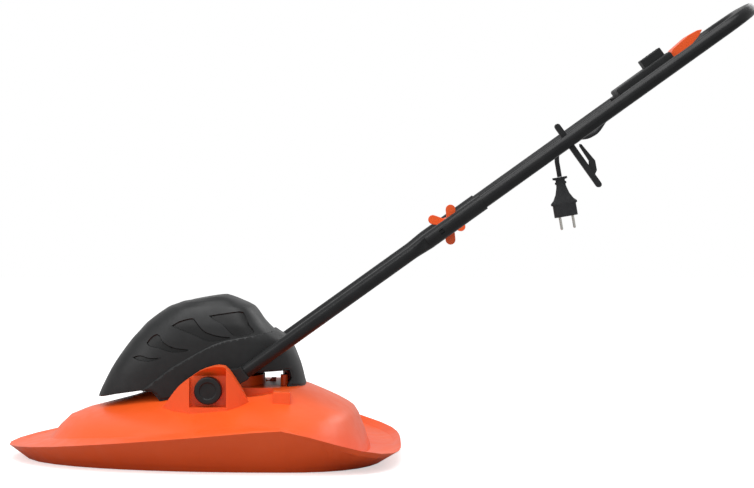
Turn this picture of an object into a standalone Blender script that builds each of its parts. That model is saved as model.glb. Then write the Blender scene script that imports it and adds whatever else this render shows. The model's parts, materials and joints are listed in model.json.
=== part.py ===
"""Electric hover mower on its hood, front at -X, left side at -Y, held by a tubular handle.

All sizes are real ones in metres, written through MM. The hood is drawn about its own
centre and everything hangs on one empty that moves the origin under the whole mower.
"""

import math

import bmesh
import bpy
from mathutils import Matrix, Vector

MM = 0.001
GAP = 0.3 * MM
MERGE = 0.02 * MM
SMOOTH_ANGLE = math.radians(32)

# Hood outline in plan: how far each ring reaches and how square its ends are
HOOD_FRONT = -295 * MM
HOOD_REAR = 295 * MM
HOOD_HALF_WIDTH = 226 * MM
HOOD_WIDEST_X = 125 * MM
HOOD_WALL = 3 * MM
SKIRT_SLANT = 1.6
SKIRT_FRONT = -268 * MM
SKIRT_REAR = 270 * MM
SKIRT_HALF_WIDTH = 180 * MM
FRONT_POWER = 2.1
RIM_REAR_POWER = 3.6
SKIRT_REAR_POWER = 2.5
DECK_Z = 110 * MM
DECK_FRONT = -58 * MM
DECK_REAR = 149 * MM
DECK_HALF_WIDTH = 88 * MM
DECK_MIDDLE = 60 * MM
REAR_STEPS = 9
FRONT_STEPS = 12
SMOOTH_STEPS = 2

# Rotor, motor and the well in the deck that holds them
ROTOR_X = 20 * MM
WELL_RADIUS = 70 * MM
WELL_TOP_Z = 124 * MM
WELL_LEDGE = 5 * MM
SHAFT_RADIUS = 5 * MM
MOTOR_RADIUS = 46 * MM
MOTOR_HEIGHT = 86 * MM
MOUNT_THICKNESS = 5 * MM
MOUNT_HUB_RADIUS = 30 * MM
MOUNT_SPOKE_WIDTH = 12 * MM
MOUNT_SCREW_RADIUS = 2 * MM
IMPELLER_RADIUS = 98 * MM
IMPELLER_PLATE_Z = 56 * MM
IMPELLER_PLATE = 3 * MM
IMPELLER_EDGE_Z = 80 * MM
IMPELLER_EYE_Z = 94 * MM
IMPELLER_HUB_RADIUS = 20 * MM
VANE_COUNT = 9
VANE_THICKNESS = 2.4 * MM
VANE_SWEEP = math.radians(38)
SPACER_RADIUS = 18 * MM
SPACER_HEIGHT = 12 * MM
BLADE_LENGTH = 298 * MM
BLADE_WIDTH = 46 * MM
BLADE_THICKNESS = 3 * MM
BLADE_LIFT = 7 * MM
WASHER_RADIUS = 15 * MM
WASHER_THICKNESS = 2.5 * MM
BOLT_HEAD_RADIUS = 9.5 * MM
BOLT_HEAD_HEIGHT = 6.5 * MM

# Ears on the hood and the pivots that the handle swings on
PIVOT_X = 15 * MM
PIVOT_Z = 111 * MM
EAR_OUTER_Y = 138 * MM
EAR_INNER_Y = 105 * MM
EAR_FRONT_INNER_Y = 97 * MM
POCKET_HALF_WIDTH = 26.7 * MM
POCKET_SLOPE_Z = 132 * MM
POCKET_TOP_Z = 147 * MM
POCKET_BOTTOM_Z = 87.5 * MM
POCKET_DEPTH = 19 * MM
PIN_HEAD_RADIUS = 20 * MM
PIN_HEAD_DEPTH = 15 * MM
PIN_DISC_RADIUS = 11.8 * MM
PIN_DISC_SUNK = 2 * MM
PIN_RADIUS = 8 * MM
PIN_BOSS_RADIUS = 14 * MM
CHANNEL_INNER_Y = 81.5 * MM
CHANNEL_OUTER_Y = 105.4 * MM
CHANNEL_RADIUS = 22.5 * MM
CHANNEL_SLOPE = math.radians(9.6)
CHANNEL_END_X = 107 * MM
STOP_TOP_Z = 108 * MM

# Motor cover
COVER_WALL = 2.8 * MM
COVER_HALF_WIDTH = 77 * MM
BAND_PROUD = 2.4 * MM
LEAF_DEPTH = 1.4 * MM
POST_TOP_Z = 126 * MM
POST_RADIUS = 6 * MM
POST_FOOT_Z = 103 * MM
BOSS_RADIUS = 5 * MM
COVER_SCREW_RADIUS = 2 * MM

# Handle, drawn along its own X axis from the pivots, with Z square to it
HANDLE_ANGLE = math.radians(35.6)
TUBE_DROP = 10.5 * MM
TUBE_RADIUS = 10 * MM
TUBE_WALL = 1.2 * MM
TUBE_Y = 92.5 * MM
TUBE_START = 56 * MM
SLEEVE_START = 384 * MM
SLEEVE_END = 483 * MM
SLEEVE_WALL = 1.6 * MM
BAR_AT = 971.5 * MM
BAR_BEND = 58 * MM
FOOT_RADIUS = 21 * MM
FOOT_WIDTH = 21 * MM
FOOT_SPIGOT = 40 * MM
STUD_AT = 425.5 * MM
STUD_RADIUS = 3 * MM
SQUARE_HOLE_AT = 409 * MM
SQUARE_HOLE = 6.6 * MM
KNOB_REACH = 29.5 * MM
KNOB_LOBE_RADIUS = 7.2 * MM
KNOB_THICKNESS = 9 * MM
KNOB_HUB_RADIUS = 9 * MM
KNOB_HUB_HEIGHT = 15 * MM
KNOB_ANGLES = {"left": math.radians(54.4), "right": math.radians(-49.6)}

# Cord hook on the left tube
HOOK_AT = 636 * MM
HOOK_WIDTH = 8.5 * MM
HOOK_THICKNESS = 8 * MM
HOOK_TOP = 19.5 * MM
HOOK_BOTTOM = -93 * MM
HOOK_PEG_REACH = 15 * MM
HOOK_PEG_RADIUS = 3.5 * MM
HOOK_PEG_Z = -16.6 * MM

# Switch box, lock button and switch lever
BOX_START = 743 * MM
BOX_END = 842 * MM
BOX_TOP = 8.5 * MM
BOX_HALF_WIDTH = 36 * MM
BOX_WING_TOP = -1.5 * MM
BOX_BOTTOM = -20 * MM
BOX_WALL = 2.5 * MM
BOX_EDGE = 3 * MM
BUTTON_START = 800.5 * MM
BUTTON_END = 836 * MM
BUTTON_TOP = 21.5 * MM
BUTTON_WIDTH = 30 * MM
BUTTON_TRAVEL = 4 * MM
BUTTON_SLOT = 0.5 * MM
LEVER_END = 902 * MM
LEVER_WIDTH = 50 * MM
LEVER_TIP_WIDTH = 34 * MM
LEVER_WALL = 2.5 * MM
LEVER_AXLE_AT = 837 * MM
LEVER_AXLE_Z = -6 * MM
LEVER_AXLE_RADIUS = 3 * MM

# Mains cord, its strain relief and its two-pin plug
CORD_DIAMETER = 7 * MM
RELIEF_LENGTH = 34 * MM
RELIEF_RADIUS = 6.5 * MM
RELIEF_Y = -42 * MM
RELIEF_Z = -9.5 * MM
RELIEF_TILT = math.radians(13)
RELIEF_STAND = 2.5 * MM
CORD_BEVEL_STEPS = 2
PLUG_PIN_LENGTH = 19 * MM
PLUG_PIN_RADIUS = 2 * MM
PLUG_PIN_SPACING = 19 * MM
PLUG_LENGTH = 58 * MM
PLUG_WIDTH = 37 * MM
PLUG_DEPTH = 20 * MM

ORANGE = (1.0, 0.13, 0.02)
BLACK = (0.035, 0.037, 0.04)
GRAPHITE = (0.05, 0.052, 0.055)
STEEL = (0.55, 0.56, 0.58)
ZINC = (0.62, 0.6, 0.55)


# Scene, materials and links


def clear_scene():
    for found in list(bpy.data.objects):
        bpy.data.objects.remove(found, do_unlink=True)


def new_collection(name):
    made = bpy.data.collections.new(name)
    bpy.context.scene.collection.children.link(made)
    return made


def material(name, colour, roughness, metallic=0.0):
    made = bpy.data.materials.new(name)
    made.use_nodes = True
    shader = made.node_tree.nodes["Principled BSDF"]
    shader.inputs["Base Color"].default_value = (*colour, 1.0)
    shader.inputs["Roughness"].default_value = roughness
    shader.inputs["Metallic"].default_value = metallic
    made.diffuse_color = (*colour, 1.0)
    return made


clear_scene()
PARTS = new_collection("hover_mower")
CUTTERS = new_collection("hover_mower_cutters")
MATERIALS = {
    "orange": material("orange_plastic", ORANGE, 0.42),
    "black": material("black_plastic", BLACK, 0.5),
    "tube": material("coated_tube", GRAPHITE, 0.38, 0.2),
    "steel": material("steel", STEEL, 0.35, 1.0),
    "zinc": material("plated_screw", ZINC, 0.3, 1.0),
    "rubber": material("cord_rubber", BLACK, 0.6),
    "fan": material("fan_plastic", GRAPHITE, 0.55),
}


def place(obj, parent=None, at=(0, 0, 0), turn=(0, 0, 0)):
    obj.parent = parent
    obj.location = at
    obj.rotation_euler = turn
    return obj


def empty(name, parent=None, at=(0, 0, 0), turn=(0, 0, 0)):
    made = bpy.data.objects.new(name, None)
    PARTS.objects.link(made)
    return place(made, parent, at, turn)


def link_mesh(name, mesh, finish, parent):
    """A part where finish names a material, and a cutter where it is None."""
    made = bpy.data.objects.new(name, mesh)
    if finish is None:
        CUTTERS.objects.link(made)
        made.hide_render = True
        made.display_type = "WIRE"
    else:
        PARTS.objects.link(made)
        mesh.materials.clear()
        mesh.materials.append(MATERIALS[finish])
    made.parent = parent
    return made


def mesh_of(bm, name, face_out=True):
    if face_out:
        bmesh.ops.recalc_face_normals(bm, faces=bm.faces)
    mesh = bpy.data.meshes.new(name)
    bm.to_mesh(mesh)
    bm.free()
    mesh.shade_smooth()
    mesh.set_sharp_from_angle(angle=SMOOTH_ANGLE)
    return mesh


# Basic solids


def box(name, finish, low, high, parent=None, edge=0.0):
    """A block between two corners of its parent's frame."""
    low, high = Vector(low), Vector(high)
    bm = bmesh.new()
    size = high - low
    bmesh.ops.create_cube(bm, size=1.0, matrix=Matrix.Diagonal((*size, 1.0)))
    made = link_mesh(name, mesh_of(bm, name), finish, parent)
    made.location = (low + high) / 2
    if edge:
        bevel(made, edge)
    return made


def rod(name, finish, radius, start, end, parent=None, sides=24, end_radius=None):
    """A round or tapered bar between two points."""
    start, end = Vector(start), Vector(end)
    bm = bmesh.new()
    along = end - start
    bmesh.ops.create_cone(
        bm,
        cap_ends=True,
        segments=sides,
        radius1=radius,
        radius2=radius if end_radius is None else end_radius,
        depth=along.length,
    )
    made = link_mesh(name, mesh_of(bm, name), finish, parent)
    made.location = (start + end) / 2
    made.rotation_euler = along.to_track_quat("Z", "Y").to_euler()
    return made


def turned(name, finish, profile, parent=None, at=(0, 0, 0), turn=(0, 0, 0), steps=32):
    """A profile of (radius, height) points, outer side top to bottom, turned about Z."""
    bm = bmesh.new()
    corners = [bm.verts.new((radius, 0, height)) for radius, height in profile]
    for first, second in zip(corners, corners[1:] + corners[:1]):
        if first.co.x > 0 or second.co.x > 0:
            bm.edges.new((first, second))
    mesh = bpy.data.meshes.new(name)
    bm.to_mesh(mesh)
    bm.free()
    made = link_mesh(name, mesh, finish, parent)
    screw = made.modifiers.new("turn", "SCREW")
    screw.steps = steps
    screw.render_steps = steps
    screw.use_merge_vertices = True
    screw.merge_threshold = MERGE
    place(made, parent, at, turn)
    return made


def outline_solid(name, finish, points, low, high, parent=None, holes=()):
    """A flat outline of (x, z) points filled and thickened from y = low to y = high."""
    curve = bpy.data.curves.new(name, "CURVE")
    curve.dimensions = "2D"
    curve.fill_mode = "BOTH"
    curve.extrude = abs(high - low) / 2
    for ring in (points, *holes):
        spline = curve.splines.new("POLY")
        spline.points.add(len(ring) - 1)
        spline.use_cyclic_u = True
        for point, (x, z) in zip(spline.points, ring):
            point.co = (x, z, 0, 1)
    drawn = bpy.data.objects.new(name + "_outline", curve)
    CUTTERS.objects.link(drawn)
    bpy.context.view_layer.update()
    graph = bpy.context.evaluated_depsgraph_get()
    mesh = bpy.data.meshes.new_from_object(drawn.evaluated_get(graph))
    bpy.data.objects.remove(drawn, do_unlink=True)
    bm = bmesh.new()
    bm.from_mesh(mesh)
    bmesh.ops.remove_doubles(bm, verts=bm.verts, dist=MERGE)
    middle = (low + high) / 2
    upright = Matrix.Translation((0, middle, 0)) @ Matrix.Rotation(math.pi / 2, 4, "X")
    bm.transform(upright)
    return link_mesh(name, mesh_of(bm, name), finish, parent)


def across_solid(name, outline, low, high, parent=None):
    """A cutter with a flat outline of (y, z) points, from x = low to x = high."""
    bm = bmesh.new()
    ends = [[bm.verts.new((x, y, z)) for y, z in outline] for x in (low, high)]
    for end in ends:
        bm.faces.new(end)
    count = len(outline)
    for i in range(count):
        j = (i + 1) % count
        bm.faces.new((ends[0][i], ends[0][j], ends[1][j], ends[1][i]))
    return link_mesh(name, mesh_of(bm, name), None, parent)


def plan_solid(name, outline, low, high, parent=None):
    """A cutter with a flat outline of (x, y) points, from z = low to z = high."""
    bm = bmesh.new()
    ends = [[bm.verts.new((x, y, z)) for x, y in outline] for z in (low, high)]
    for end in ends:
        bm.faces.new(end)
    count = len(outline)
    for i in range(count):
        j = (i + 1) % count
        bm.faces.new((ends[0][i], ends[0][j], ends[1][j], ends[1][i]))
    return link_mesh(name, mesh_of(bm, name), None, parent)


def swept(name, finish, points, radius, parent=None, ring_steps=6, wall=0.0):
    """A round bar along points, or a tube of the given wall that is open at its ends."""
    curve = bpy.data.curves.new(name, "CURVE")
    curve.dimensions = "3D"
    curve.bevel_depth = radius
    curve.bevel_resolution = ring_steps
    curve.use_fill_caps = not wall
    spline = curve.splines.new("POLY")
    spline.points.add(len(points) - 1)
    for point, place_at in zip(spline.points, points):
        point.co = (*place_at, 1)
    drawn = bpy.data.objects.new(name + "_path", curve)
    CUTTERS.objects.link(drawn)
    bpy.context.view_layer.update()
    graph = bpy.context.evaluated_depsgraph_get()
    mesh = bpy.data.meshes.new_from_object(drawn.evaluated_get(graph))
    bpy.data.objects.remove(drawn, do_unlink=True)
    bm = bmesh.new()
    bm.from_mesh(mesh)
    bmesh.ops.remove_doubles(bm, verts=bm.verts, dist=MERGE)
    made = link_mesh(name, mesh_of(bm, name), finish, parent)
    if wall:
        solidify(made, wall)
    return made


def loft(name, finish, rings, parent=None):
    """A skin facing outwards through rings of the same number of points, lowest first."""
    bm = bmesh.new()
    rows = [[bm.verts.new(point) for point in ring] for ring in rings]
    for lower, upper in zip(rows, rows[1:]):
        for i in range(len(lower) - 1):
            bm.faces.new((lower[i], lower[i + 1], upper[i + 1]))
            bm.faces.new((lower[i], upper[i + 1], upper[i]))
    bmesh.ops.remove_doubles(bm, verts=bm.verts, dist=MERGE)
    return link_mesh(name, mesh_of(bm, name, face_out=False), finish, parent)


# Modifiers


def solidify(obj, thickness):
    wall = obj.modifiers.new("wall", "SOLIDIFY")
    wall.thickness = thickness
    wall.offset = -1
    wall.use_even_offset = True
    return wall


def bevel(obj, width, segments=2, angle=math.radians(40)):
    made = obj.modifiers.new("edges", "BEVEL")
    made.width = width
    made.segments = segments
    made.limit_method = "ANGLE"
    made.angle_limit = angle
    return made


def mirror(obj):
    """Doubles a half drawn on +Y of its own origin."""
    made = obj.modifiers.new("halves", "MIRROR")
    made.use_axis = (False, True, False)
    made.merge_threshold = MERGE
    return made


def combine(obj, other, operation, solver="EXACT"):
    made = obj.modifiers.new(operation.lower(), "BOOLEAN")
    made.operation = operation
    made.object = other
    made.solver = solver
    return obj


def cut(obj, *others):
    for other in others:
        combine(obj, other, "DIFFERENCE")
    return obj


def join(obj, *others):
    for other in others:
        combine(obj, other, "UNION")
    return obj


def keep_inside(obj, other):
    return combine(obj, other, "INTERSECT")


# Curves and outlines


def smooth_value(points, x):
    """The value at x of a smooth curve through (x, value) points in rising x."""
    if x <= points[0][0]:
        return points[0][1]
    if x >= points[-1][0]:
        return points[-1][1]
    last = len(points) - 1
    i = next(k for k in range(last) if points[k + 1][0] >= x)
    slopes = []
    for k in (i, i + 1):
        before, after = points[max(k - 1, 0)], points[min(k + 1, last)]
        slopes.append((after[1] - before[1]) / (after[0] - before[0]))
    (x0, v0), (x1, v1) = points[i], points[i + 1]
    span = x1 - x0
    t = (x - x0) / span
    return (
        (2 * t**3 - 3 * t**2 + 1) * v0
        + (t**3 - 2 * t**2 + t) * span * slopes[0]
        + (3 * t**2 - 2 * t**3) * v1
        + (t**3 - t**2) * span * slopes[1]
    )


def smooth_path(points, step):
    """Points about a step apart on one smooth curve through the given ones."""
    points = [Vector(point) for point in points]
    ends = [2 * points[0] - points[1], *points, 2 * points[-1] - points[-2]]
    path = []
    for before, first, second, after in zip(ends, ends[1:], ends[2:], ends[3:]):
        count = max(1, round((second - first).length / step))
        for k in range(count):
            path.append(between(before, first, second, after, k / count))
    return [*path, points[-1]]


def between(before, first, second, after, t):
    """The point at share t from first to second of a smooth curve through four."""
    return 0.5 * (
        2 * first
        + (second - before) * t
        + (2 * before - 5 * first + 4 * second - after) * t**2
        + (3 * first - before - 3 * second + after) * t**3
    )


def arc(centre, radius, start, end, count):
    """Points (x, z) on a circle, from one angle in degrees to another."""
    points = []
    for k in range(count + 1):
        angle = math.radians(start + (end - start) * k / count)
        points.append(
            (centre[0] + radius * math.cos(angle), centre[1] + radius * math.sin(angle))
        )
    return points


def quarter_outline(reach, half_width, power, count):
    """Evenly spaced (x, y) points from the end of a squared-off quarter oval to its side."""
    dense = []
    for k in range(241):
        angle = math.pi / 2 * k / 240
        dense.append(
            (
                reach * math.cos(angle) ** (2 / power),
                half_width * math.sin(angle) ** (2 / power) if k else 0.0,
            )
        )
    dense[-1] = (0.0, half_width)
    lengths = [0.0]
    for first, second in zip(dense, dense[1:]):
        lengths.append(lengths[-1] + math.dist(first, second))
    points = []
    k = 0
    for i in range(count + 1):
        wanted = lengths[-1] * i / count
        while k < len(dense) - 2 and lengths[k + 1] < wanted:
            k += 1
        share = (wanted - lengths[k]) / (lengths[k + 1] - lengths[k])
        share = min(max(share, 0.0), 1.0)
        points.append(
            tuple(a + (b - a) * share for a, b in zip(dense[k], dense[k + 1]))
        )
    return points


def half_ring(front, rear, middle, half_width, rear_power, height, front_power=FRONT_POWER):
    """Half of a ring round the hood or cover, on +Y from its rear end to its front end."""
    back = quarter_outline(rear - middle, half_width, rear_power, REAR_STEPS)
    fore = quarter_outline(middle - front, half_width, front_power, FRONT_STEPS)
    plan = [(middle + x, y) for x, y in back]
    plan += [(middle - x, y) for x, y in reversed(fore[:-1])]
    return [Vector((x, y, height(x))) for x, y in plan]


def level(z):
    return lambda x: z


def guide(*points):
    """A height that follows x through (x, z) points in millimetres."""
    line = [(x * MM, z * MM) for x, z in points]
    return lambda x: smooth_value(line, x)


def centre_line(ring):
    return [Vector((point.x, 0, point.z)) for point in ring]


def refined(rings, steps):
    """The rings with more between them on a smooth curve."""
    ends = [
        [2 * a - b for a, b in zip(rings[0], rings[1])],
        *rings,
        [2 * a - b for a, b in zip(rings[-1], rings[-2])],
    ]
    finer = []
    for before, first, second, after in zip(ends, ends[1:], ends[2:], ends[3:]):
        for k in range(steps):
            finer.append(
                [between(*four, k / steps) for four in zip(before, first, second, after)]
            )
    return [*finer, rings[-1]]


# Hood


RIM_HEIGHT = guide(
    (-295, 21), (-240, 28), (-132, 40.5), (14, 55.4), (100, 63.5), (125, 64.5),
    (174, 53.3), (220, 39.6), (255, 30.2), (276, 25.5), (295, 21),
)
LIP_HEIGHT = guide(
    (-281, 20), (-213, 30), (-132, 42), (14, 57.5), (100, 65.5), (125, 66),
    (174, 49), (220, 31), (255, 21), (284, 15),
)
VALLEY_HEIGHT = guide(
    (-236, 29), (-200, 38), (-132, 46), (14, 60), (100, 67), (125, 67),
    (160, 50), (190, 35), (220, 23), (249, 14),
)


def rim_ring():
    return half_ring(
        HOOD_FRONT, HOOD_REAR, HOOD_WIDEST_X, HOOD_HALF_WIDTH, RIM_REAR_POWER, RIM_HEIGHT
    )


def shared_ring(front, rear, middle, width, rear_power, height, front_power=FRONT_POWER):
    """A ring placed by its shares of the way from the deck's outline out to the rim's."""
    return half_ring(
        DECK_FRONT + front * (HOOD_FRONT - DECK_FRONT),
        DECK_REAR + rear * (HOOD_REAR - DECK_REAR),
        DECK_MIDDLE + middle * (HOOD_WIDEST_X - DECK_MIDDLE),
        DECK_HALF_WIDTH + width * (HOOD_HALF_WIDTH - DECK_HALF_WIDTH),
        rear_power, height, front_power,
    )


def deck_rings():
    """The top of the hood from its rim, over the trough and the dome, to the flat deck."""
    trough = [rim_ring(), shared_ring(0.941, 0.925, 1, 0.957, RIM_REAR_POWER, LIP_HEIGHT)]
    dome = [
        shared_ring(0.743, 0.685, 1, 0.884, 2.2, VALLEY_HEIGHT),
        shared_ring(0.612, 0.568, 1, 0.783, 2.0, level(63 * MM)),
        shared_ring(0.422, 0.479, 0.923, 0.507, 2.1, level(78 * MM), 1.95),
        shared_ring(0.203, 0.301, 0.692, 0.239, 2.2, level(92 * MM), 1.8),
        shared_ring(0.059, 0.116, 0.308, 0.080, 2.4, level(104 * MM), 1.8),
        shared_ring(0, 0, 0, 0, 2.6, level(DECK_Z)),
    ]
    return [*trough, *refined(dome, SMOOTH_STEPS)]


def hood_space(name, frame, raised):
    """A solid that fills everything below the top of the hood, raised by a clearance."""
    lift = Vector((0, 0, raised))
    rings = [[point + lift for point in ring] for ring in deck_rings()]
    foot = [Vector((point.x, point.y, -20 * MM)) for point in rings[0]]
    rings = [centre_line(foot), foot, *rings, centre_line(rings[-1])]
    made = loft(name, None, rings, frame)
    mirror(made)
    return made


def inset(ring, distance):
    """The half ring moved inwards in plan."""
    ends = [Vector((ring[0].x, -ring[1].y, 0)), *ring, Vector((ring[-1].x, -ring[-2].y, 0))]
    moved = []
    for before, point, after in zip(ends, ring, ends[2:]):
        along = after - before
        inwards = Vector((-along.y, along.x, 0)).normalized()
        moved.append(point + inwards * distance)
    moved[0].y = moved[-1].y = 0
    return moved


def hood_cavity(frame, bottom):
    """The open space under the deck and inside the skirt."""
    slant = HOOD_WALL * SKIRT_SLANT
    bottom, rim = inset(bottom, slant), inset(rim_ring(), slant)
    low_z, high_z = -8 * MM, 130 * MM
    low = [b + (r - b) * (low_z / r.z) for b, r in zip(bottom, rim)]
    high = [b + (r - b) * (high_z / r.z) for b, r in zip(bottom, rim)]
    rings = [centre_line(low), low, bottom, rim, high, centre_line(high)]
    cavity = loft("hood_cavity", None, rings, frame)
    mirror(cavity)
    return keep_inside(cavity, hood_space("hood_ceiling", frame, -HOOD_WALL))


def channel_outline(grown):
    """Side view of the channel that a handle foot swings in, down to its lowest place."""
    reach = CHANNEL_RADIUS + grown
    points = arc((PIVOT_X, PIVOT_Z), reach, 180, 270 + math.degrees(CHANNEL_SLOPE), 8)
    last_x, last_z = points[-1]
    end_x = CHANNEL_END_X + grown
    end_z = last_z + (end_x - last_x) * math.tan(CHANNEL_SLOPE)
    top = 200 * MM
    return [*points, (end_x, end_z), (end_x, top), (PIVOT_X - reach, top)]


def ear_outline(inset=0.0):
    """The ear seen from the side, with its foot well inside the hood."""
    front_foot = [(-60, 76), (-46.3, 94), (-28, 117), (-12, 129)]
    crest = [(1.8, 138.5), (15.6, 144), (29.4, 147), (38.7, 145.7), (45, 140)]
    rear_foot = [(59.2, 118.7), (72, 95), (78, 84)]
    points = [*front_foot, *crest, *rear_foot]
    path = smooth_path([(x * MM, 0, z * MM) for x, z in points], 9 * MM)
    middle = Vector((11 * MM, 0, 78 * MM))
    outline = []
    for point in path:
        outward = (point - middle).normalized()
        outline.append((point.x - inset * outward.x, point.z - inset * outward.z))
    depth = 55 * MM
    return [*outline, (outline[-1][0], depth), (outline[0][0], depth)]


def ear_plan(name, facing, inset, frame):
    """A cutter that bows the ear's outer face, seen from above."""
    bow = (
        (-64, 38), (-52, 34), (-35, 16), (-12, 2.2), (15, 0.2), (43, 1.2), (60, 10), (72, 21),
        (84, 34),
    )
    outline = [(x * MM, facing * (EAR_OUTER_Y - inset - back * MM)) for x, back in bow]
    ends = (outline[-1][0], outline[0][0])
    inner_y = facing * (EAR_OUTER_Y - 60 * MM)
    outline += [(x, inner_y) for x in ends]
    return plan_solid(name, outline, 40 * MM, 170 * MM, frame)


def make_hood(frame):
    rings = deck_rings()
    bottom = half_ring(
        SKIRT_FRONT, SKIRT_REAR, HOOD_WIDEST_X, SKIRT_HALF_WIDTH, SKIRT_REAR_POWER, level(0)
    )
    rings = [centre_line(bottom), bottom, *rings, centre_line(rings[-1])]
    hood = loft("hood", "orange", rings, frame)
    mirror(hood)
    cut(hood, hood_cavity(frame, bottom))

    under = hood_space("hood_under", frame, -HOOD_WALL / 2)

    # Round well for the motor, with a ledge that the motor mount rests on
    bore = WELL_RADIUS - HOOD_WALL
    well = rod(
        "well", None, WELL_RADIUS,
        (ROTOR_X, 0, DECK_Z - HOOD_WALL), (ROTOR_X, 0, WELL_TOP_Z), frame, 40,
    )
    join(hood, well)
    cut(
        hood,
        rod("well_bore", None, bore, (ROTOR_X, 0, DECK_Z), (ROTOR_X, 0, 160 * MM), frame, 40),
        rod(
            "well_throat", None, bore - WELL_LEDGE,
            (ROTOR_X, 0, 60 * MM), (ROTOR_X, 0, 120 * MM), frame, 40,
        ),
    )

    # Ears, hollow from below, each with an open pocket for the head of its pivot pin
    for side, facing in (("left", -1), ("right", 1)):
        outer, inner = facing * EAR_OUTER_Y, facing * EAR_FRONT_INNER_Y
        lining_y = (facing * (CHANNEL_INNER_Y - HOOD_WALL), facing * (CHANNEL_OUTER_Y + HOOD_WALL))
        lining = outline_solid(
            "channel_lining_" + side, None, channel_outline(HOOD_WALL),
            min(lining_y), max(lining_y), frame,
        )
        keep_inside(lining, hood_space("hood_solid_" + side, frame, -HOOD_WALL / 3))
        join(hood, lining)
        ear = outline_solid(
            "ear_" + side, None, ear_outline(),
            min(outer, inner), max(outer, inner), frame,
        )
        bevel(ear, 2 * MM)
        keep_inside(ear, ear_plan("ear_bow_" + side, facing, 0, frame))
        cut(ear, under)
        join(hood, ear)
        hollow_outer = facing * (EAR_OUTER_Y - HOOD_WALL)
        hollow_inner = facing * (CHANNEL_OUTER_Y + HOOD_WALL)
        hollow = outline_solid(
            "ear_hollow_" + side, None, ear_outline(HOOD_WALL),
            min(hollow_outer, hollow_inner), max(hollow_outer, hollow_inner), frame,
        )
        keep_inside(hollow, ear_plan("hollow_bow_" + side, facing, HOOD_WALL, frame))
        wall = HOOD_WALL
        pocket_back = facing * (EAR_OUTER_Y - POCKET_DEPTH)
        outside = facing * (EAR_OUTER_Y + 5 * MM)
        kept_y = (pocket_back - facing * wall, outside)
        kept = box(
            "pocket_walls_" + side, None,
            (PIVOT_X - POCKET_HALF_WIDTH - wall, min(kept_y), POCKET_BOTTOM_Z - 3 * wall),
            (PIVOT_X + POCKET_HALF_WIDTH + wall, max(kept_y), POCKET_TOP_Z + wall),
            frame,
        )
        boss = rod(
            "pin_boss_" + side, None, PIN_BOSS_RADIUS,
            (PIVOT_X, pocket_back, PIVOT_Z), (PIVOT_X, facing * 104 * MM, PIVOT_Z), frame,
        )
        cut(hollow, kept, boss)
        cut(hood, hollow)
        # The pocket's back leans out above the pin's head and runs up to the ear's crest
        pocket_side = (
            (pocket_back, POCKET_BOTTOM_Z), (pocket_back, POCKET_SLOPE_Z),
            (facing * EAR_OUTER_Y, POCKET_TOP_Z), (outside, POCKET_TOP_Z),
            (outside, POCKET_BOTTOM_Z),
        )
        pocket = across_solid(
            "pocket_" + side, pocket_side,
            PIVOT_X - POCKET_HALF_WIDTH, PIVOT_X + POCKET_HALF_WIDTH, frame,
        )
        bore_hole = rod(
            "pin_bore_" + side, None, PIN_RADIUS + GAP,
            (PIVOT_X, outside, PIVOT_Z), (PIVOT_X, facing * 95 * MM, PIVOT_Z), frame,
        )
        cut(hood, pocket, bore_hole)

        channel_y = (facing * CHANNEL_INNER_Y, facing * CHANNEL_OUTER_Y)
        channel = outline_solid(
            "channel_" + side, None, channel_outline(0), min(channel_y), max(channel_y), frame,
        )
        combine(hood, channel, "DIFFERENCE", "MANIFOLD")

        # Block on the deck's shoulder that the lowered handle comes to rest on
        stop_in, stop_out = facing * 97 * MM, facing * 122 * MM
        stop = box(
            "stop_" + side, None,
            (107.8 * MM, min(stop_in, stop_out), 70 * MM),
            (133.6 * MM, max(stop_in, stop_out), STOP_TOP_Z),
            frame,
        )
        bevel(stop, 1.5 * MM)
        cut(stop, under)
        join(hood, stop)

    # Posts under the cover, and a low notched guide that shows in the rear window
    for name, (x, y) in cover_fixings():
        post = rod(
            "post_" + name, None, POST_RADIUS, (x, y, POST_FOOT_Z), (x, y, POST_TOP_Z),
            frame, 20,
        )
        join(hood, post)
        cut(hood, rod(
            "post_seat_" + name, None, POST_RADIUS, (x, y, 80 * MM), (x, y, POST_FOOT_Z), frame, 20,
        ))
        reach = rod(
            "post_bore_" + name, None, COVER_SCREW_RADIUS + GAP,
            (x, y, 90 * MM), (x, y, 140 * MM), frame, 16,
        )
        cut(hood, reach)
    guide_block = box(
        "guide_block", None,
        (88.7 * MM, 30 * MM, DECK_Z - 2 * MM), (104.7 * MM, 38 * MM, 115 * MM), frame,
    )
    cut(guide_block, rod(
        "guide_notch", None, 5 * MM, (93 * MM, 25 * MM, 116 * MM), (93 * MM, 43 * MM, 116 * MM), frame,
    ))
    join(hood, guide_block)
    return hood


def cover_fixings():
    """Where the four screws join the hood's posts to the cover's bosses."""
    front_x, rear_x = -62 * MM, 121 * MM
    across = {"front": 26 * MM, "rear": 36 * MM}
    places = []
    for end, x in (("front", front_x), ("rear", rear_x)):
        for side, facing in (("left", -1), ("right", 1)):
            places.append((end + "_" + side, (x, facing * across[end])))
    return places


# Motor cover


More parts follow.
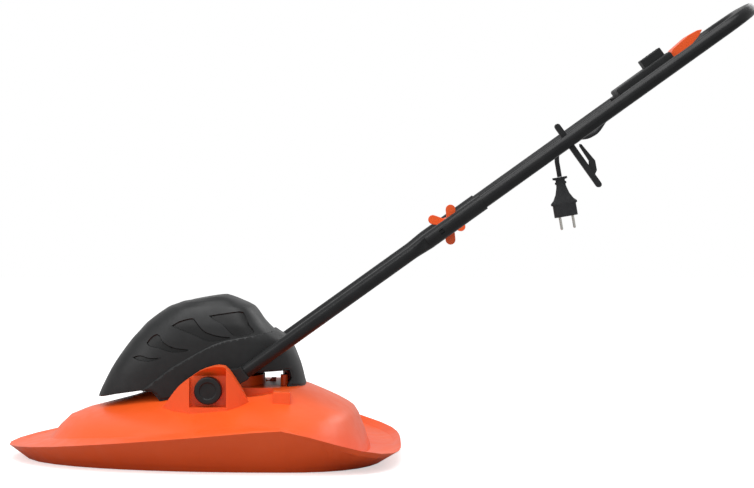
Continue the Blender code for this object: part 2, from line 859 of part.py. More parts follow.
def cover_rings(grown=0.0):
    """The cover's skin from below its lower edge to the flat strip on top."""
    shoulder = guide((-40, 232.5), (15, 236.5), (56, 234.5))
    strip = guide((-24, 235), (15.5, 241.5), (34, 243.6))
    levels = (
        # height, front, rear, middle, half width, rear power, front power
        (level(76 * MM), -161, 156, 30, 77, 3.0, 3.0),
        (level(92 * MM), -160, 153.5, 30, 77, 3.0, 3.0),
        (level(112 * MM), -151.5, 148.5, 32, 76.8, 3.0, 3.2),
        (level(143 * MM), -134.5, 140, 34, 75.6, 3.0, 3.4),
        (level(176 * MM), -110.8, 124, 36, 72, 3.0, 3.4),
        (level(190 * MM), -98.2, 105, 36, 69, 3.0, 3.4),
        (level(204 * MM), -85, 91, 36, 64.5, 2.9, 3.4),
        (level(226 * MM), -54.5, 74.8, 34, 53, 2.7, 3.2),
        (shoulder, -36, 58, 28, 43, 2.6, 3.0),
        (strip, -22, 34, 15, 33, 2.6, 2.8),
    )
    count = len(levels) - 1
    rings = []
    for k, (height, front, rear, middle, half_width, power, front_power) in enumerate(levels):
        width = COVER_HALF_WIDTH - (77 - half_width) * MM
        ring = half_ring(
            front * MM - grown, rear * MM + grown, middle * MM, width + grown, power,
            height, front_power,
        )
        rise = Vector((0, 0, grown * k / count))
        rings.append([point + rise for point in ring])
    return rings


def cover_space(name, frame, grown=0.0):
    rings = cover_rings(grown)
    rings = [centre_line(rings[0]), *rings, centre_line(rings[-1])]
    made = loft(name, None, rings, frame)
    mirror(made)
    return made


LEAVES = {
    "low": ((-103, 153.5), (-92, 156.5), (-76, 153), (-60, 153.6), (-77, 148), (-94, 149.5)),
    "front": (
        (-82, 175), (-74, 184.5), (-66, 188), (-62, 186), (-58, 178.4), (-49, 172),
        (-37, 168), (-16, 165), (-41, 161.5), (-66, 168), (-78, 170.5),
    ),
    "middle": (
        (-45, 200), (-33, 207), (-15, 211.5), (-10, 208.5), (-3, 200), (6, 192),
        (24, 186), (43, 183), (13, 177.5), (-10, 186.5), (-30, 194),
    ),
    "rear": (
        (10, 215), (29, 218), (57, 221), (64.5, 215), (70, 202.5), (77, 190),
        (52, 185), (41, 192), (31, 202.5), (20, 208),
    ),
}
BAND_TOP = (
    (-92, 101), (-84.5, 107.9), (-53, 132), (-36.4, 143.7), (5.6, 167), (26.6, 176),
    (47.6, 181), (89.4, 188), (117, 190),
)
BAND_FRONT = ((-57.4, 86.8), (-40, 72))


def make_cover(frame):
    cover = loft("motor_cover", "black", [*cover_rings(), centre_line(cover_rings()[-1])], frame)
    mirror(cover)
    solidify(cover, COVER_WALL)
    wide = EAR_OUTER_Y

    # Raised band along the lower sides
    band = cover_space("band", frame, BAND_PROUD)
    top = smooth_path([(x * MM, 0, z * MM) for x, z in BAND_TOP], 14 * MM)
    outline = [(point.x, point.z) for point in top]
    outline += [(175 * MM, 190 * MM), (175 * MM, 70 * MM)]
    outline += [(x * MM, z * MM) for x, z in reversed(BAND_FRONT)]
    keep_inside(band, outline_solid("band_side", None, outline, -wide, wide, frame))
    cut(band, cover_space("cover_core", frame, -COVER_WALL / 2))
    join(cover, band)

    # Screw bosses that hang from the roof
    filled = cover_space("cover_filled", frame, -COVER_WALL / 2)
    for name, (x, y) in cover_fixings():
        boss = rod(
            "boss_" + name, None, BOSS_RADIUS, (x, y, POST_TOP_Z + GAP), (x, y, 0.26), frame, 24
        )
        keep_inside(boss, filled)
        join(cover, boss)
        pilot = rod(
            "boss_bore_" + name, None, COVER_SCREW_RADIUS + GAP,
            (x, y, 0.1), (x, y, POST_TOP_Z + 22 * MM), frame, 16,
        )
        cut(cover, pilot)

    # Shallow leaf-shaped recesses on both flanks
    core = cover_space("leaf_floor", frame, -LEAF_DEPTH)
    for name, points in LEAVES.items():
        ring = smooth_path([(x * MM, 0, z * MM) for x, z in (*points, points[0])], 9 * MM)
        outline = [(point.x, point.z) for point in ring[:-1]]
        leaf = outline_solid("leaf_" + name, None, outline, -wide, wide, frame)
        cut(leaf, core)
        cut(cover, leaf)

    # Lower edge: visor in front, band down to the hood, window and tail at the rear
    edge = [
        (-175, 40), (-175, 91), (-160, 92), (-130, 98.5), (-90, 105), (-72, 103.8), (-57.4, 86.8),
        (-46, 78),
        (26, 78), (42, 131), (128, 134), (131, 122), (126, 112), (126, 40),
    ]
    below = [(x * MM, z * MM) for x, z in edge]
    cut(cover, outline_solid("cover_edge", None, below, -wide, wide, frame))
    cut(cover, hood_space("hood_clear", frame, GAP))
    return cover


# Motor and rotor


def make_motor(frame):
    base = DECK_Z + GAP
    top = base + MOUNT_THICKNESS
    outer = WELL_RADIUS - HOOD_WALL - GAP
    inner = outer - WELL_LEDGE - 2 * MM
    mount = turned(
        "motor_mount", "black",
        [(outer, top), (outer, base), (inner, base), (inner, top)],
        frame, (ROTOR_X, 0, 0), steps=32,
    )
    hub = turned(
        "mount_hub", None,
        [
            (MOUNT_HUB_RADIUS, top), (MOUNT_HUB_RADIUS, base),
            (12 * MM, base), (12 * MM, top),
        ],
        frame, (ROTOR_X, 0, 0),
    )
    for index in range(4):
        angle = math.radians(45 + 90 * index)
        spoke = box(
            "mount_spoke_%d" % index, None,
            (20 * MM, -MOUNT_SPOKE_WIDTH / 2, base + 0.5 * MM),
            (inner + 1 * MM, MOUNT_SPOKE_WIDTH / 2, top - 0.5 * MM), frame,
        )
        turn_about(spoke, (ROTOR_X, 0), angle)
        join(mount, spoke)
    join(mount, hub)
    screw_at = (outer + inner) / 2
    for index in range(4):
        angle = math.radians(90 * index)
        at = (ROTOR_X + screw_at * math.cos(angle), screw_at * math.sin(angle))
        cut(mount, rod(
            "mount_screw_bore_%d" % index, None, MOUNT_SCREW_RADIUS + GAP,
            (*at, base - 4 * MM), (*at, top + 4 * MM), frame, 16,
        ))
        cut(bpy.data.objects["hood"], rod(
            "ledge_bore_%d" % index, None, MOUNT_SCREW_RADIUS + GAP,
            (*at, DECK_Z - 2.6 * MM), (*at, DECK_Z + 4 * MM), frame, 16,
        ))
        screw("mount_screw_%d" % (index + 1), frame, (*at, top + GAP), (0, 0, -1), 7 * MM)

    # Motor: can, end bell with brush boxes, and a base plate screwed to the mount's hub
    foot = top + GAP
    head = foot + MOTOR_HEIGHT
    motor = turned(
        "motor_can", "steel",
        [
            (MOTOR_RADIUS - 3 * MM, head), (MOTOR_RADIUS, head - 3 * MM),
            (MOTOR_RADIUS, foot + 8 * MM), (MOTOR_RADIUS - 2 * MM, foot + 6 * MM),
            (MOUNT_HUB_RADIUS, foot + 6 * MM), (MOUNT_HUB_RADIUS, foot),
            (SHAFT_RADIUS + GAP, foot), (SHAFT_RADIUS + GAP, head),
        ],
        frame, (ROTOR_X, 0, 0), steps=28,
    )
    for index in range(8):
        slot = box(
            "can_slot_%d" % index, None,
            (MOTOR_RADIUS - 4 * MM, -4 * MM, foot + 18 * MM),
            (MOTOR_RADIUS + 4 * MM, 4 * MM, foot + 34 * MM), frame,
        )
        turn_about(slot, (ROTOR_X, 0), math.radians(45 * index))
        cut(motor, slot)
    bell_foot = head + GAP
    bell = turned(
        "motor_end_bell", "black",
        [
            (12 * MM, bell_foot + 20 * MM), (20 * MM, bell_foot + 14 * MM),
            (38 * MM, bell_foot + 9 * MM), (MOTOR_RADIUS - 4 * MM, bell_foot),
            (SHAFT_RADIUS + GAP, bell_foot), (SHAFT_RADIUS + GAP, bell_foot + 14 * MM),
            (0, bell_foot + 14 * MM), (0, bell_foot + 20 * MM),
        ],
        frame, (ROTOR_X, 0, 0), steps=32,
    )
    for side, facing in (("left", -1), ("right", 1)):
        brush = box(
            "brush_box_" + side, None,
            (ROTOR_X - 6 * MM, min(facing * 22 * MM, facing * 40 * MM), bell_foot + 1 * MM),
            (ROTOR_X + 6 * MM, max(facing * 22 * MM, facing * 40 * MM), bell_foot + 12 * MM),
            frame,
        )
        join(bell, brush)
    return bell_foot + 14 * MM


def turn_about(obj, centre, angle):
    """Turns an object drawn about the origin and sets it on a vertical axis."""
    turned_at = Matrix.Rotation(angle, 4, "Z") @ obj.location.to_4d()
    obj.location = (centre[0] + turned_at.x, centre[1] + turned_at.y, turned_at.z)
    obj.rotation_euler = (0, 0, angle)


def screw(name, frame, under_head, along, length, radius=2 * MM, head=3.6 * MM, height=2.4 * MM):
    """A pan-head screw whose head bears at under_head and whose shank runs along."""
    profile = [
        (head * 0.72, height), (head, height * 0.45), (head, 0), (radius, 0),
        (radius, -length + radius), (0, -length), (0, height * 0.35),
        (head * 0.3, height * 0.35), (head * 0.3, height),
    ]
    made = turned(name, "zinc", profile, frame, under_head, steps=8)
    made.rotation_euler = (-Vector(along)).to_track_quat("Z", "Y").to_euler()
    return made


def make_rotor(frame, shaft_top):
    """Shaft, fan, spacer, blade, washer and bolt on the upright axis of the motor."""
    rotor = empty("rotor_axis", frame, (ROTOR_X, 0, 0))
    plate = IMPELLER_PLATE_Z
    hub_foot = plate
    blade_top = hub_foot - GAP - SPACER_HEIGHT - GAP
    shaft_foot = blade_top - BLADE_THICKNESS - WASHER_THICKNESS - 0.2 * MM
    turned(
        "drive_shaft", "steel",
        [
            (SHAFT_RADIUS - 1 * MM, shaft_top - 2 * MM), (SHAFT_RADIUS, shaft_top - 3 * MM),
            (SHAFT_RADIUS, shaft_foot), (0, shaft_foot), (0, shaft_top - 2 * MM),
        ],
        rotor, steps=28,
    )

    bore = SHAFT_RADIUS + GAP
    fan = turned(
        "impeller", "fan",
        [
            (IMPELLER_HUB_RADIUS - 3 * MM, IMPELLER_EYE_Z),
            (IMPELLER_HUB_RADIUS, IMPELLER_EYE_Z - 6 * MM),
            (IMPELLER_HUB_RADIUS + 3 * MM, plate + 12 * MM),
            (IMPELLER_HUB_RADIUS + 12 * MM, plate + IMPELLER_PLATE),
            (IMPELLER_RADIUS, plate + IMPELLER_PLATE), (IMPELLER_RADIUS, plate),
            (bore, plate), (bore, IMPELLER_EYE_Z),
        ],
        rotor, steps=36,
    )
    for index in range(VANE_COUNT):
        angle = 2 * math.pi * index / VANE_COUNT
        join(fan, vane("vane_%d" % index, angle, rotor))

    turned(
        "blade_spacer", "black",
        [
            (SPACER_RADIUS, hub_foot - GAP), (SPACER_RADIUS, blade_top + GAP),
            (bore, blade_top + GAP), (bore, hub_foot - GAP),
        ],
        rotor, steps=28,
    )
    make_blade(rotor, blade_top)
    washer_top = blade_top - BLADE_THICKNESS - GAP
    turned(
        "blade_washer", "zinc",
        [
            (WASHER_RADIUS, washer_top), (WASHER_RADIUS, washer_top - WASHER_THICKNESS),
            (bore, washer_top - WASHER_THICKNESS), (bore, washer_top),
        ],
        rotor, steps=28,
    )
    head_top = washer_top - WASHER_THICKNESS - GAP
    bolt = rod(
        "blade_bolt", "zinc", BOLT_HEAD_RADIUS,
        (0, 0, head_top - BOLT_HEAD_HEIGHT), (0, 0, head_top), rotor, 6,
    )
    bevel(bolt, 0.6 * MM, 1)
    shank = rod(
        "bolt_shank", None, 3 * MM, (0, 0, head_top - 2 * MM), (0, 0, head_top + 18 * MM), rotor, 20
    )
    join(bolt, shank)
    cut(bpy.data.objects["drive_shaft"], rod(
        "shaft_bore", None, 3 * MM + GAP, (0, 0, shaft_foot - 5 * MM),
        (0, 0, head_top + 20 * MM), rotor, 20,
    ))
    return rotor


def vane(name, angle, rotor):
    """A swept fan vane from the eye to the edge of the fan, standing on its plate."""
    count = 4
    inner, outer = IMPELLER_HUB_RADIUS, IMPELLER_RADIUS - 2 * MM
    foot = IMPELLER_PLATE_Z + 1 * MM
    path, tops = [], []
    for k in range(count + 1):
        share = k / count
        radius = inner + (outer - inner) * share
        turn = angle + VANE_SWEEP * share**1.3
        path.append(Vector((radius * math.cos(turn), radius * math.sin(turn), 0)))
        eased = share * share * (3 - 2 * share)
        tops.append(IMPELLER_EYE_Z - 6 * MM + (IMPELLER_EDGE_Z - IMPELLER_EYE_Z + 6 * MM) * eased)
    bm = bmesh.new()
    rows = []
    for k, point in enumerate(path):
        along = path[min(k + 1, count)] - path[max(k - 1, 0)]
        side = Vector((-along.y, along.x, 0)).normalized() * (VANE_THICKNESS / 2)
        rows.append(
            [
                bm.verts.new(point + side + Vector((0, 0, z)))
                for z in (foot, tops[k])
            ]
            + [
                bm.verts.new(point - side + Vector((0, 0, z)))
                for z in (tops[k], foot)
            ]
        )
    for first, second in zip(rows, rows[1:]):
        for i in range(4):
            j = (i + 1) % 4
            bm.faces.new((first[i], first[j], second[j], second[i]))
    bm.faces.new(rows[0])
    bm.faces.new(rows[-1])
    return link_mesh(name, mesh_of(bm, name), None, rotor)


def make_blade(rotor, top):
    """A flat steel bar with ground leading edges and tips that turn up."""
    half, side = BLADE_LENGTH / 2, BLADE_WIDTH / 2
    bm = bmesh.new()
    stations = [-half, -half * 0.8, -half * 0.62, half * 0.62, half * 0.8, half]
    rows = []
    for x in stations:
        tip = max(0.0, (abs(x) / half - 0.62) / 0.38)
        back = BLADE_LIFT * tip
        lead = 1 if x > 0 else -1
        ground = 0.7 * BLADE_THICKNESS if tip else 0.0
        row = []
        for y, lift, thin in ((-lead * side, 0.0, ground), (lead * side, back, 0.0)):
            row.append((y, top + lift - thin, top + lift - BLADE_THICKNESS))
        ((y0, top0, foot0), (y1, top1, foot1)) = row
        rows.append(
            [
                bm.verts.new((x, y0 * lead, top0 if lead > 0 else top1)),
                bm.verts.new((x, y0 * lead, foot0 if lead > 0 else foot1)),
                bm.verts.new((x, y1 * lead, foot1 if lead > 0 else foot0)),
                bm.verts.new((x, y1 * lead, top1 if lead > 0 else top0)),
            ]
        )
    for first, second in zip(rows, rows[1:]):
        for i in range(4):
            j = (i + 1) % 4
            bm.faces.new((first[i], first[j], second[j], second[i]))
    bm.faces.new(rows[0])
    bm.faces.new(rows[-1])
    blade = link_mesh("blade", mesh_of(bm, "blade"), "steel", rotor)
    cut(blade, rod(
        "blade_bore", None, SHAFT_RADIUS + GAP, (0, 0, top - 20 * MM), (0, 0, top + 20 * MM), rotor
    ))
    return blade


# Handle


def make_pivot_pins(frame):
    for side, facing in (("left", -1), ("right", 1)):
        head_back = EAR_OUTER_Y - POCKET_DEPTH + GAP
        reach = EAR_INNER_Y - FOOT_WIDTH - GAP
        face = head_back + PIN_HEAD_DEPTH
        made = turned(
            "pivot_pin_" + side, "black",
            [
                (PIN_DISC_RADIUS, face - PIN_DISC_SUNK), (PIN_DISC_RADIUS + 0.7 * MM, face),
                (PIN_HEAD_RADIUS - 3 * MM, face), (PIN_HEAD_RADIUS - 0.8 * MM, face - 0.8 * MM),
                (PIN_HEAD_RADIUS, face - 2.8 * MM), (PIN_HEAD_RADIUS, head_back),
                (PIN_RADIUS, head_back), (PIN_RADIUS, reach + 1 * MM),
                (PIN_RADIUS - 1 * MM, reach), (0, reach), (0, face - PIN_DISC_SUNK),
            ],
            frame, (PIVOT_X, 0, PIVOT_Z), steps=32,
        )
        made.rotation_euler = (-facing * math.pi / 2, 0, 0)


def make_arm(side, facing, handle):
    """A foot on the pivot pin and a tube whose widened end takes the upper handle."""
    inner = EAR_INNER_Y - GAP - FOOT_WIDTH
    near, far = facing * inner, facing * (EAR_INNER_Y - GAP)
    low_y, high_y = min(near, far), max(near, far)
    outline = arc((0, 0), FOOT_RADIUS, 100, 225, 10)
    outline += [
        (TUBE_START - 2 * MM, -TUBE_DROP - TUBE_RADIUS - 1 * MM),
        (TUBE_START, -TUBE_DROP - TUBE_RADIUS + 1 * MM),
        (TUBE_START, -0.5 * MM), (TUBE_START - 6 * MM, 0.6 * MM), (TUBE_START - 16 * MM, 6 * MM),
        (16 * MM, 17 * MM),
    ]
    foot = outline_solid("handle_foot_" + side, "black", outline, low_y, high_y, handle)
    bevel(foot, 1.5 * MM)
    y = facing * TUBE_Y
    spigot = rod(
        "foot_spigot_" + side, None, TUBE_RADIUS - TUBE_WALL - GAP,
        (TUBE_START - 10 * MM, y, -TUBE_DROP), (TUBE_START + FOOT_SPIGOT, y, -TUBE_DROP), handle,
    )
    join(foot, spigot)
    cut(foot, rod(
        "foot_bore_" + side, None, PIN_RADIUS + GAP,
        (0, low_y - 5 * MM, 0), (0, high_y + 5 * MM, 0), handle,
    ))

    start = TUBE_START + GAP
    outer = TUBE_RADIUS + GAP + SLEEVE_WALL
    flare = 26 * MM
    inside = TUBE_RADIUS - TUBE_WALL
    seat = TUBE_RADIUS + GAP
    arm = turned(
        "lower_arm_" + side, "tube",
        [
            (outer, SLEEVE_END), (outer, SLEEVE_START), (TUBE_RADIUS, SLEEVE_START - flare),
            (TUBE_RADIUS, start), (inside, start), (inside, SLEEVE_START - flare + 4 * MM),
            (seat - 2.4 * MM, SLEEVE_START + 2 * MM), (seat, SLEEVE_START + 4 * MM),
            (seat, SLEEVE_END),
        ],
        handle, (0, y, -TUBE_DROP), (0, math.pi / 2, 0), steps=24,
    )
    # Square locating hole in the outer side, and the stud's hole through the inner side
    wall = facing * (TUBE_Y + TUBE_RADIUS - 4 * MM)
    beyond = facing * (TUBE_Y + TUBE_RADIUS + 8 * MM)
    half = SQUARE_HOLE / 2
    cut(arm, box(
        "square_hole_" + side, None,
        (SQUARE_HOLE_AT - half, min(wall, beyond), -TUBE_DROP - half),
        (SQUARE_HOLE_AT + half, max(wall, beyond), -TUBE_DROP + half), handle,
    ))
    cut(arm, rod(
        "arm_stud_bore_" + side, None, STUD_RADIUS + GAP,
        (STUD_AT, y, -TUBE_DROP), (STUD_AT, facing * (TUBE_Y - 30 * MM), -TUBE_DROP), handle, 20,
    ))
    # Flat pressed into the outer side, deepest where it meets the sleeve
    flat_start = SLEEVE_START - 66 * MM
    flat_end = SLEEVE_START - 1 * MM
    shallow = TUBE_Y + TUBE_RADIUS + 0.2 * MM
    deep = TUBE_Y + TUBE_RADIUS - 0.8 * MM
    bm = bmesh.new()
    corners = []
    for x, y_in in ((flat_start, shallow), (flat_end, deep)):
        for z in (-TUBE_DROP - 6 * MM, -TUBE_DROP + 7 * MM):
            corners.append(bm.verts.new((x, facing * y_in, z)))
            corners.append(bm.verts.new((x, facing * (y_in + 8 * MM), z)))
    bmesh.ops.convex_hull(bm, input=corners)
    cut(arm, link_mesh("arm_flat_" + side, mesh_of(bm, "arm_flat_" + side), None, handle))
    return arm


def handle_path():
    """The bent tube's centre line, from one sleeve round the grip bar to the other."""
    start = SLEEVE_START + 6 * MM
    bend_at = BAR_AT - BAR_BEND
    side = [(start, TUBE_Y), (STUD_AT - 30 * MM, TUBE_Y), (STUD_AT + 30 * MM, TUBE_Y)]
    side += [(bend_at, TUBE_Y)]
    corner = [
        (bend_at + x, TUBE_Y - BAR_BEND + z)
        for x, z in arc((0, 0), BAR_BEND, 90, 0, 9)[1:]
    ]
    half = [*side, *corner]
    path = half + [(x, -y) for x, y in reversed(half)]
    return [(x, y, -TUBE_DROP) for x, y in path]


def make_upper_handle(handle):
    tube = swept(
        "upper_handle", "tube", handle_path(), TUBE_RADIUS, handle, ring_steps=4, wall=TUBE_WALL
    )
    for side, facing in (("left", -1), ("right", 1)):
        cut(tube, rod(
            "handle_stud_bore_" + side, None, STUD_RADIUS + GAP,
            (STUD_AT, facing * TUBE_Y, -TUBE_DROP),
            (STUD_AT, facing * (TUBE_Y - 30 * MM), -TUBE_DROP), handle, 20,
        ))
    return tube


def make_wing_knob(side, facing, handle):
    """A two-lobed clamping knob with its stud, and the nut in the tube that it pulls on."""
    bearing = TUBE_Y - TUBE_RADIUS - SLEEVE_WALL - 2 * GAP
    axis = empty("knob_axis_" + side, handle, (STUD_AT, 0, -TUBE_DROP))
    axis.rotation_euler = (0, -KNOB_ANGLES[side], 0)
    hub_top = bearing - KNOB_HUB_HEIGHT
    low = facing * bearing
    high = facing * hub_top
    knob = rod(
        "wing_knob_" + side, "orange", KNOB_HUB_RADIUS, (0, low, 0), (0, high, 0), axis, 24,
        KNOB_HUB_RADIUS - 1.5 * MM,
    )
    lobe_y = (facing * (bearing - 3.5 * MM), facing * (bearing - 3.5 * MM - KNOB_THICKNESS))
    reach = KNOB_REACH - KNOB_LOBE_RADIUS
    waist = 5 * MM
    outline = arc((reach, 0), KNOB_LOBE_RADIUS, -95, 95, 8)
    outline += [(0, waist)]
    outline += arc((-reach, 0), KNOB_LOBE_RADIUS, 85, 275, 8)
    outline += [(0, -waist)]
    lobes = outline_solid("lobes_" + side, None, outline, min(lobe_y), max(lobe_y), axis)
    bevel(lobes, 2 * MM)
    join(knob, lobes)
    stud = rod(
        "stud_" + side, None, STUD_RADIUS,
        (0, facing * (bearing - 5 * MM), 0), (0, facing * (TUBE_Y + 5 * MM), 0), axis, 20,
    )
    join(knob, stud)

    nut_y = (facing * (TUBE_Y - 5.6 * MM), facing * (TUBE_Y + 1.2 * MM))
    nut = box(
        "clamp_nut_" + side, "zinc",
        (STUD_AT - 5 * MM, min(nut_y), -TUBE_DROP - 5 * MM),
        (STUD_AT + 5 * MM, max(nut_y), -TUBE_DROP + 5 * MM), handle,
    )
    cut(nut, rod(
        "nut_bore_" + side, None, STUD_RADIUS + GAP,
        (STUD_AT, nut_y[0] - facing * 8 * MM, -TUBE_DROP),
        (STUD_AT, nut_y[1] + facing * 8 * MM, -TUBE_DROP), handle, 20,
    ))
    return axis


def make_cord_hook(handle):
    """A bar square to the tubes with an open J slot, screwed to the left tube."""
    half = HOOK_WIDTH / 2
    face = -(TUBE_Y - TUBE_RADIUS) - 3 * MM
    inner = face + HOOK_THICKNESS + 3 * MM
    arm = [
        (HOOK_AT + half - 1 * MM, -60 * MM), (HOOK_AT + 8.5 * MM, -52 * MM),
        (HOOK_AT + 9.5 * MM, -27 * MM), (HOOK_AT + 11.5 * MM, -24 * MM),
        (HOOK_AT + 13.5 * MM, -26 * MM), (HOOK_AT + 16 * MM, -57 * MM),
        (HOOK_AT + 10 * MM, -70 * MM), (HOOK_AT + half - 1 * MM, -74 * MM),
    ]
    bar = arc((HOOK_AT, HOOK_TOP - half), half, 180, 0, 6)
    bar += arc((HOOK_AT, HOOK_BOTTOM + half), half, 0, -180, 6)
    hook = outline_solid("cord_hook", "black", bar, face, inner, handle)
    join(hook, outline_solid("hook_arm", None, arm, face + 2 * MM, inner - 1 * MM, handle))
    peg_end = inner + HOOK_PEG_REACH
    join(hook, rod(
        "hook_peg", None, HOOK_PEG_RADIUS, (HOOK_AT, inner - 2 * MM, HOOK_PEG_Z),
        (HOOK_AT, peg_end, HOOK_PEG_Z), handle, 20,
    ))
    cut(hook, rod(
        "hook_saddle", None, TUBE_RADIUS + GAP,
        (HOOK_AT - 40 * MM, -TUBE_Y, -TUBE_DROP), (HOOK_AT + 40 * MM, -TUBE_Y, -TUBE_DROP), handle,
    ))
    return hook


def make_switch_box(handle):
    """A housing in two half shells, whose low wings clasp the tubes from inside."""
    split = -TUBE_DROP
    wing = TUBE_Y - 2.5 * MM
    wall = BOX_WALL
    inside_y = TUBE_Y - TUBE_RADIUS - 2 * wall
    top = box(
        "switch_box_top", "black", (BOX_START, -BOX_HALF_WIDTH, split + GAP / 2),
        (BOX_END, BOX_HALF_WIDTH, BOX_TOP), handle, BOX_EDGE,
    )
    join(top, box(
        "top_wings", None, (BOX_START + 1 * MM, -wing, split + GAP / 2),
        (BOX_END - 1 * MM, wing, BOX_WING_TOP), handle,
    ))
    base = box(
        "switch_box_base", "black", (BOX_START, -wing, BOX_BOTTOM),
        (BOX_END, wing, split - GAP / 2), handle, BOX_EDGE,
    )
    cut(
        top,
        box(
            "wings_inside", None, (BOX_START + wall + 1 * MM, -inside_y, split - 5 * MM),
            (BOX_END - wall - 1 * MM, inside_y, BOX_WING_TOP - wall), handle,
        ),
        box(
            "top_inside", None, (BOX_START + wall, wall - BOX_HALF_WIDTH, split - 6 * MM),
            (BOX_END - wall, BOX_HALF_WIDTH - wall, BOX_TOP - wall), handle,
        ),
    )
    cut(base, box(
        "base_inside", None, (BOX_START + wall, -inside_y, BOX_BOTTOM + wall),
        (BOX_END - wall, inside_y, split + 5 * MM), handle,
    ))
    for shell in (top, base):
        for side, facing in (("left", -1), ("right", 1)):
            cut(shell, rod(
                shell.name + "_saddle_" + side, None, TUBE_RADIUS + GAP,
                (BOX_START - 20 * MM, facing * TUBE_Y, -TUBE_DROP),
                (BOX_END + 20 * MM, facing * TUBE_Y, -TUBE_DROP), handle,
            ))

    # Window for the button, slot for the lever and a bore for the strain relief
    slot = BUTTON_SLOT
    cut(top, box(
        "button_window", None,
        (BUTTON_START - slot, -BUTTON_WIDTH / 2 - slot, 0),
        (BUTTON_END + slot, BUTTON_WIDTH / 2 + slot, BOX_TOP + 5 * MM), handle,
    ))
    lever_half = LEVER_WIDTH / 2 + 1 * MM
    slot_start = LEVER_AXLE_AT - 9 * MM
    cut(top, box(
        "lever_slot", None, (slot_start, -lever_half, split - 5 * MM),
        (BOX_END + 5 * MM, lever_half, BOX_TOP - wall - 0.4 * MM), handle,
    ))
    cut(base, box(
        "lever_slot_low", None, (slot_start, -lever_half, BOX_BOTTOM + wall + 0.4 * MM),
        (BOX_END + 5 * MM, lever_half, 0), handle,
    ))
    bearing_half = LEVER_AXLE_RADIUS + 1.5 * MM
    for side, facing in (("left", -1), ("right", 1)):
        ear_y = (facing * (lever_half - 0.5 * MM), facing * (lever_half + 4 * MM))
        bearing = box(
            "lever_bearing_" + side, None,
            (LEVER_AXLE_AT - bearing_half, min(ear_y), split + GAP / 2),
            (LEVER_AXLE_AT + bearing_half, max(ear_y), BOX_TOP - 1 * MM), handle,
        )
        join(top, bearing)
    cut(top, rod(
        "axle_bore", None, LEVER_AXLE_RADIUS + GAP,
        (LEVER_AXLE_AT, -lever_half - 2.6 * MM, LEVER_AXLE_Z),
        (LEVER_AXLE_AT, lever_half + 2.6 * MM, LEVER_AXLE_Z), handle, 24,
    ))
    relief_bore = rod(
        "relief_bore", None, CORD_DIAMETER / 2 + 1 * MM + GAP,
        relief_point(RELIEF_STAND + 2 * MM), relief_point(-8 * MM), handle, 24,
    )
    cut(top, relief_bore)
    cut(base, relief_bore)
    return top, base


def make_lever(handle):
    """A channel open from below that hangs on its axle in the switch box."""
    axis = empty("lever_axis", handle, (LEVER_AXLE_AT, 0, LEVER_AXLE_Z))
    half, tip_half = LEVER_WIDTH / 2, LEVER_TIP_WIDTH / 2
    reach = LEVER_END - LEVER_AXLE_AT
    root = [(-4 * MM, 3.4 * MM), (-4 * MM, -3.6 * MM), (3 * MM, -4.6 * MM), (12 * MM, 2 * MM)]
    lower = [(reach - 25 * MM, 3 * MM), (reach - 9 * MM, 7 * MM), (reach, 11.5 * MM)]
    upper = [
        (reach, 12.5 * MM), (reach - 7 * MM, 15.5 * MM), (reach - 23 * MM, 17 * MM),
        (13 * MM, 14 * MM), (7 * MM, 11.2 * MM), (3.5 * MM, 6 * MM), (1 * MM, 3.4 * MM),
    ]
    lever = outline_solid("switch_lever", "orange", [*root, *lower, *upper], -half, half, axis)
    taper = 26 * MM
    keep_inside(lever, plan_solid(
        "lever_plan",
        [
            (-20 * MM, -half - 1 * MM), (taper, -half - 1 * MM), (reach + 1 * MM, -tip_half),
            (reach + 1 * MM, tip_half), (taper, half + 1 * MM), (-20 * MM, half + 1 * MM),
        ],
        -30 * MM, 40 * MM, axis,
    ))
    bevel(lever, 0.8 * MM, 1)
    wall = LEVER_WALL
    hollow_end = reach - 11 * MM
    hollow = outline_solid(
        "lever_hollow", None,
        [
            (16 * MM, -10 * MM), (hollow_end, -10 * MM), (hollow_end, 16 * MM - wall),
            (reach - 23 * MM, 17 * MM - wall), (16 * MM, 14.4 * MM - wall),
        ],
        -half, half, axis,
    )
    keep_inside(hollow, plan_solid(
        "lever_hollow_plan",
        [
            (10 * MM, wall - half), (taper, wall - half), (reach, wall - tip_half),
            (reach, tip_half - wall), (taper, half - wall), (10 * MM, half - wall),
        ],
        -30 * MM, 40 * MM, axis,
    ))
    cut(lever, hollow)
    join(lever, rod(
        "lever_axle", None, LEVER_AXLE_RADIUS, (0, -half - 3 * MM, 0), (0, half + 3 * MM, 0),
        axis, 24,
    ))
    return axis


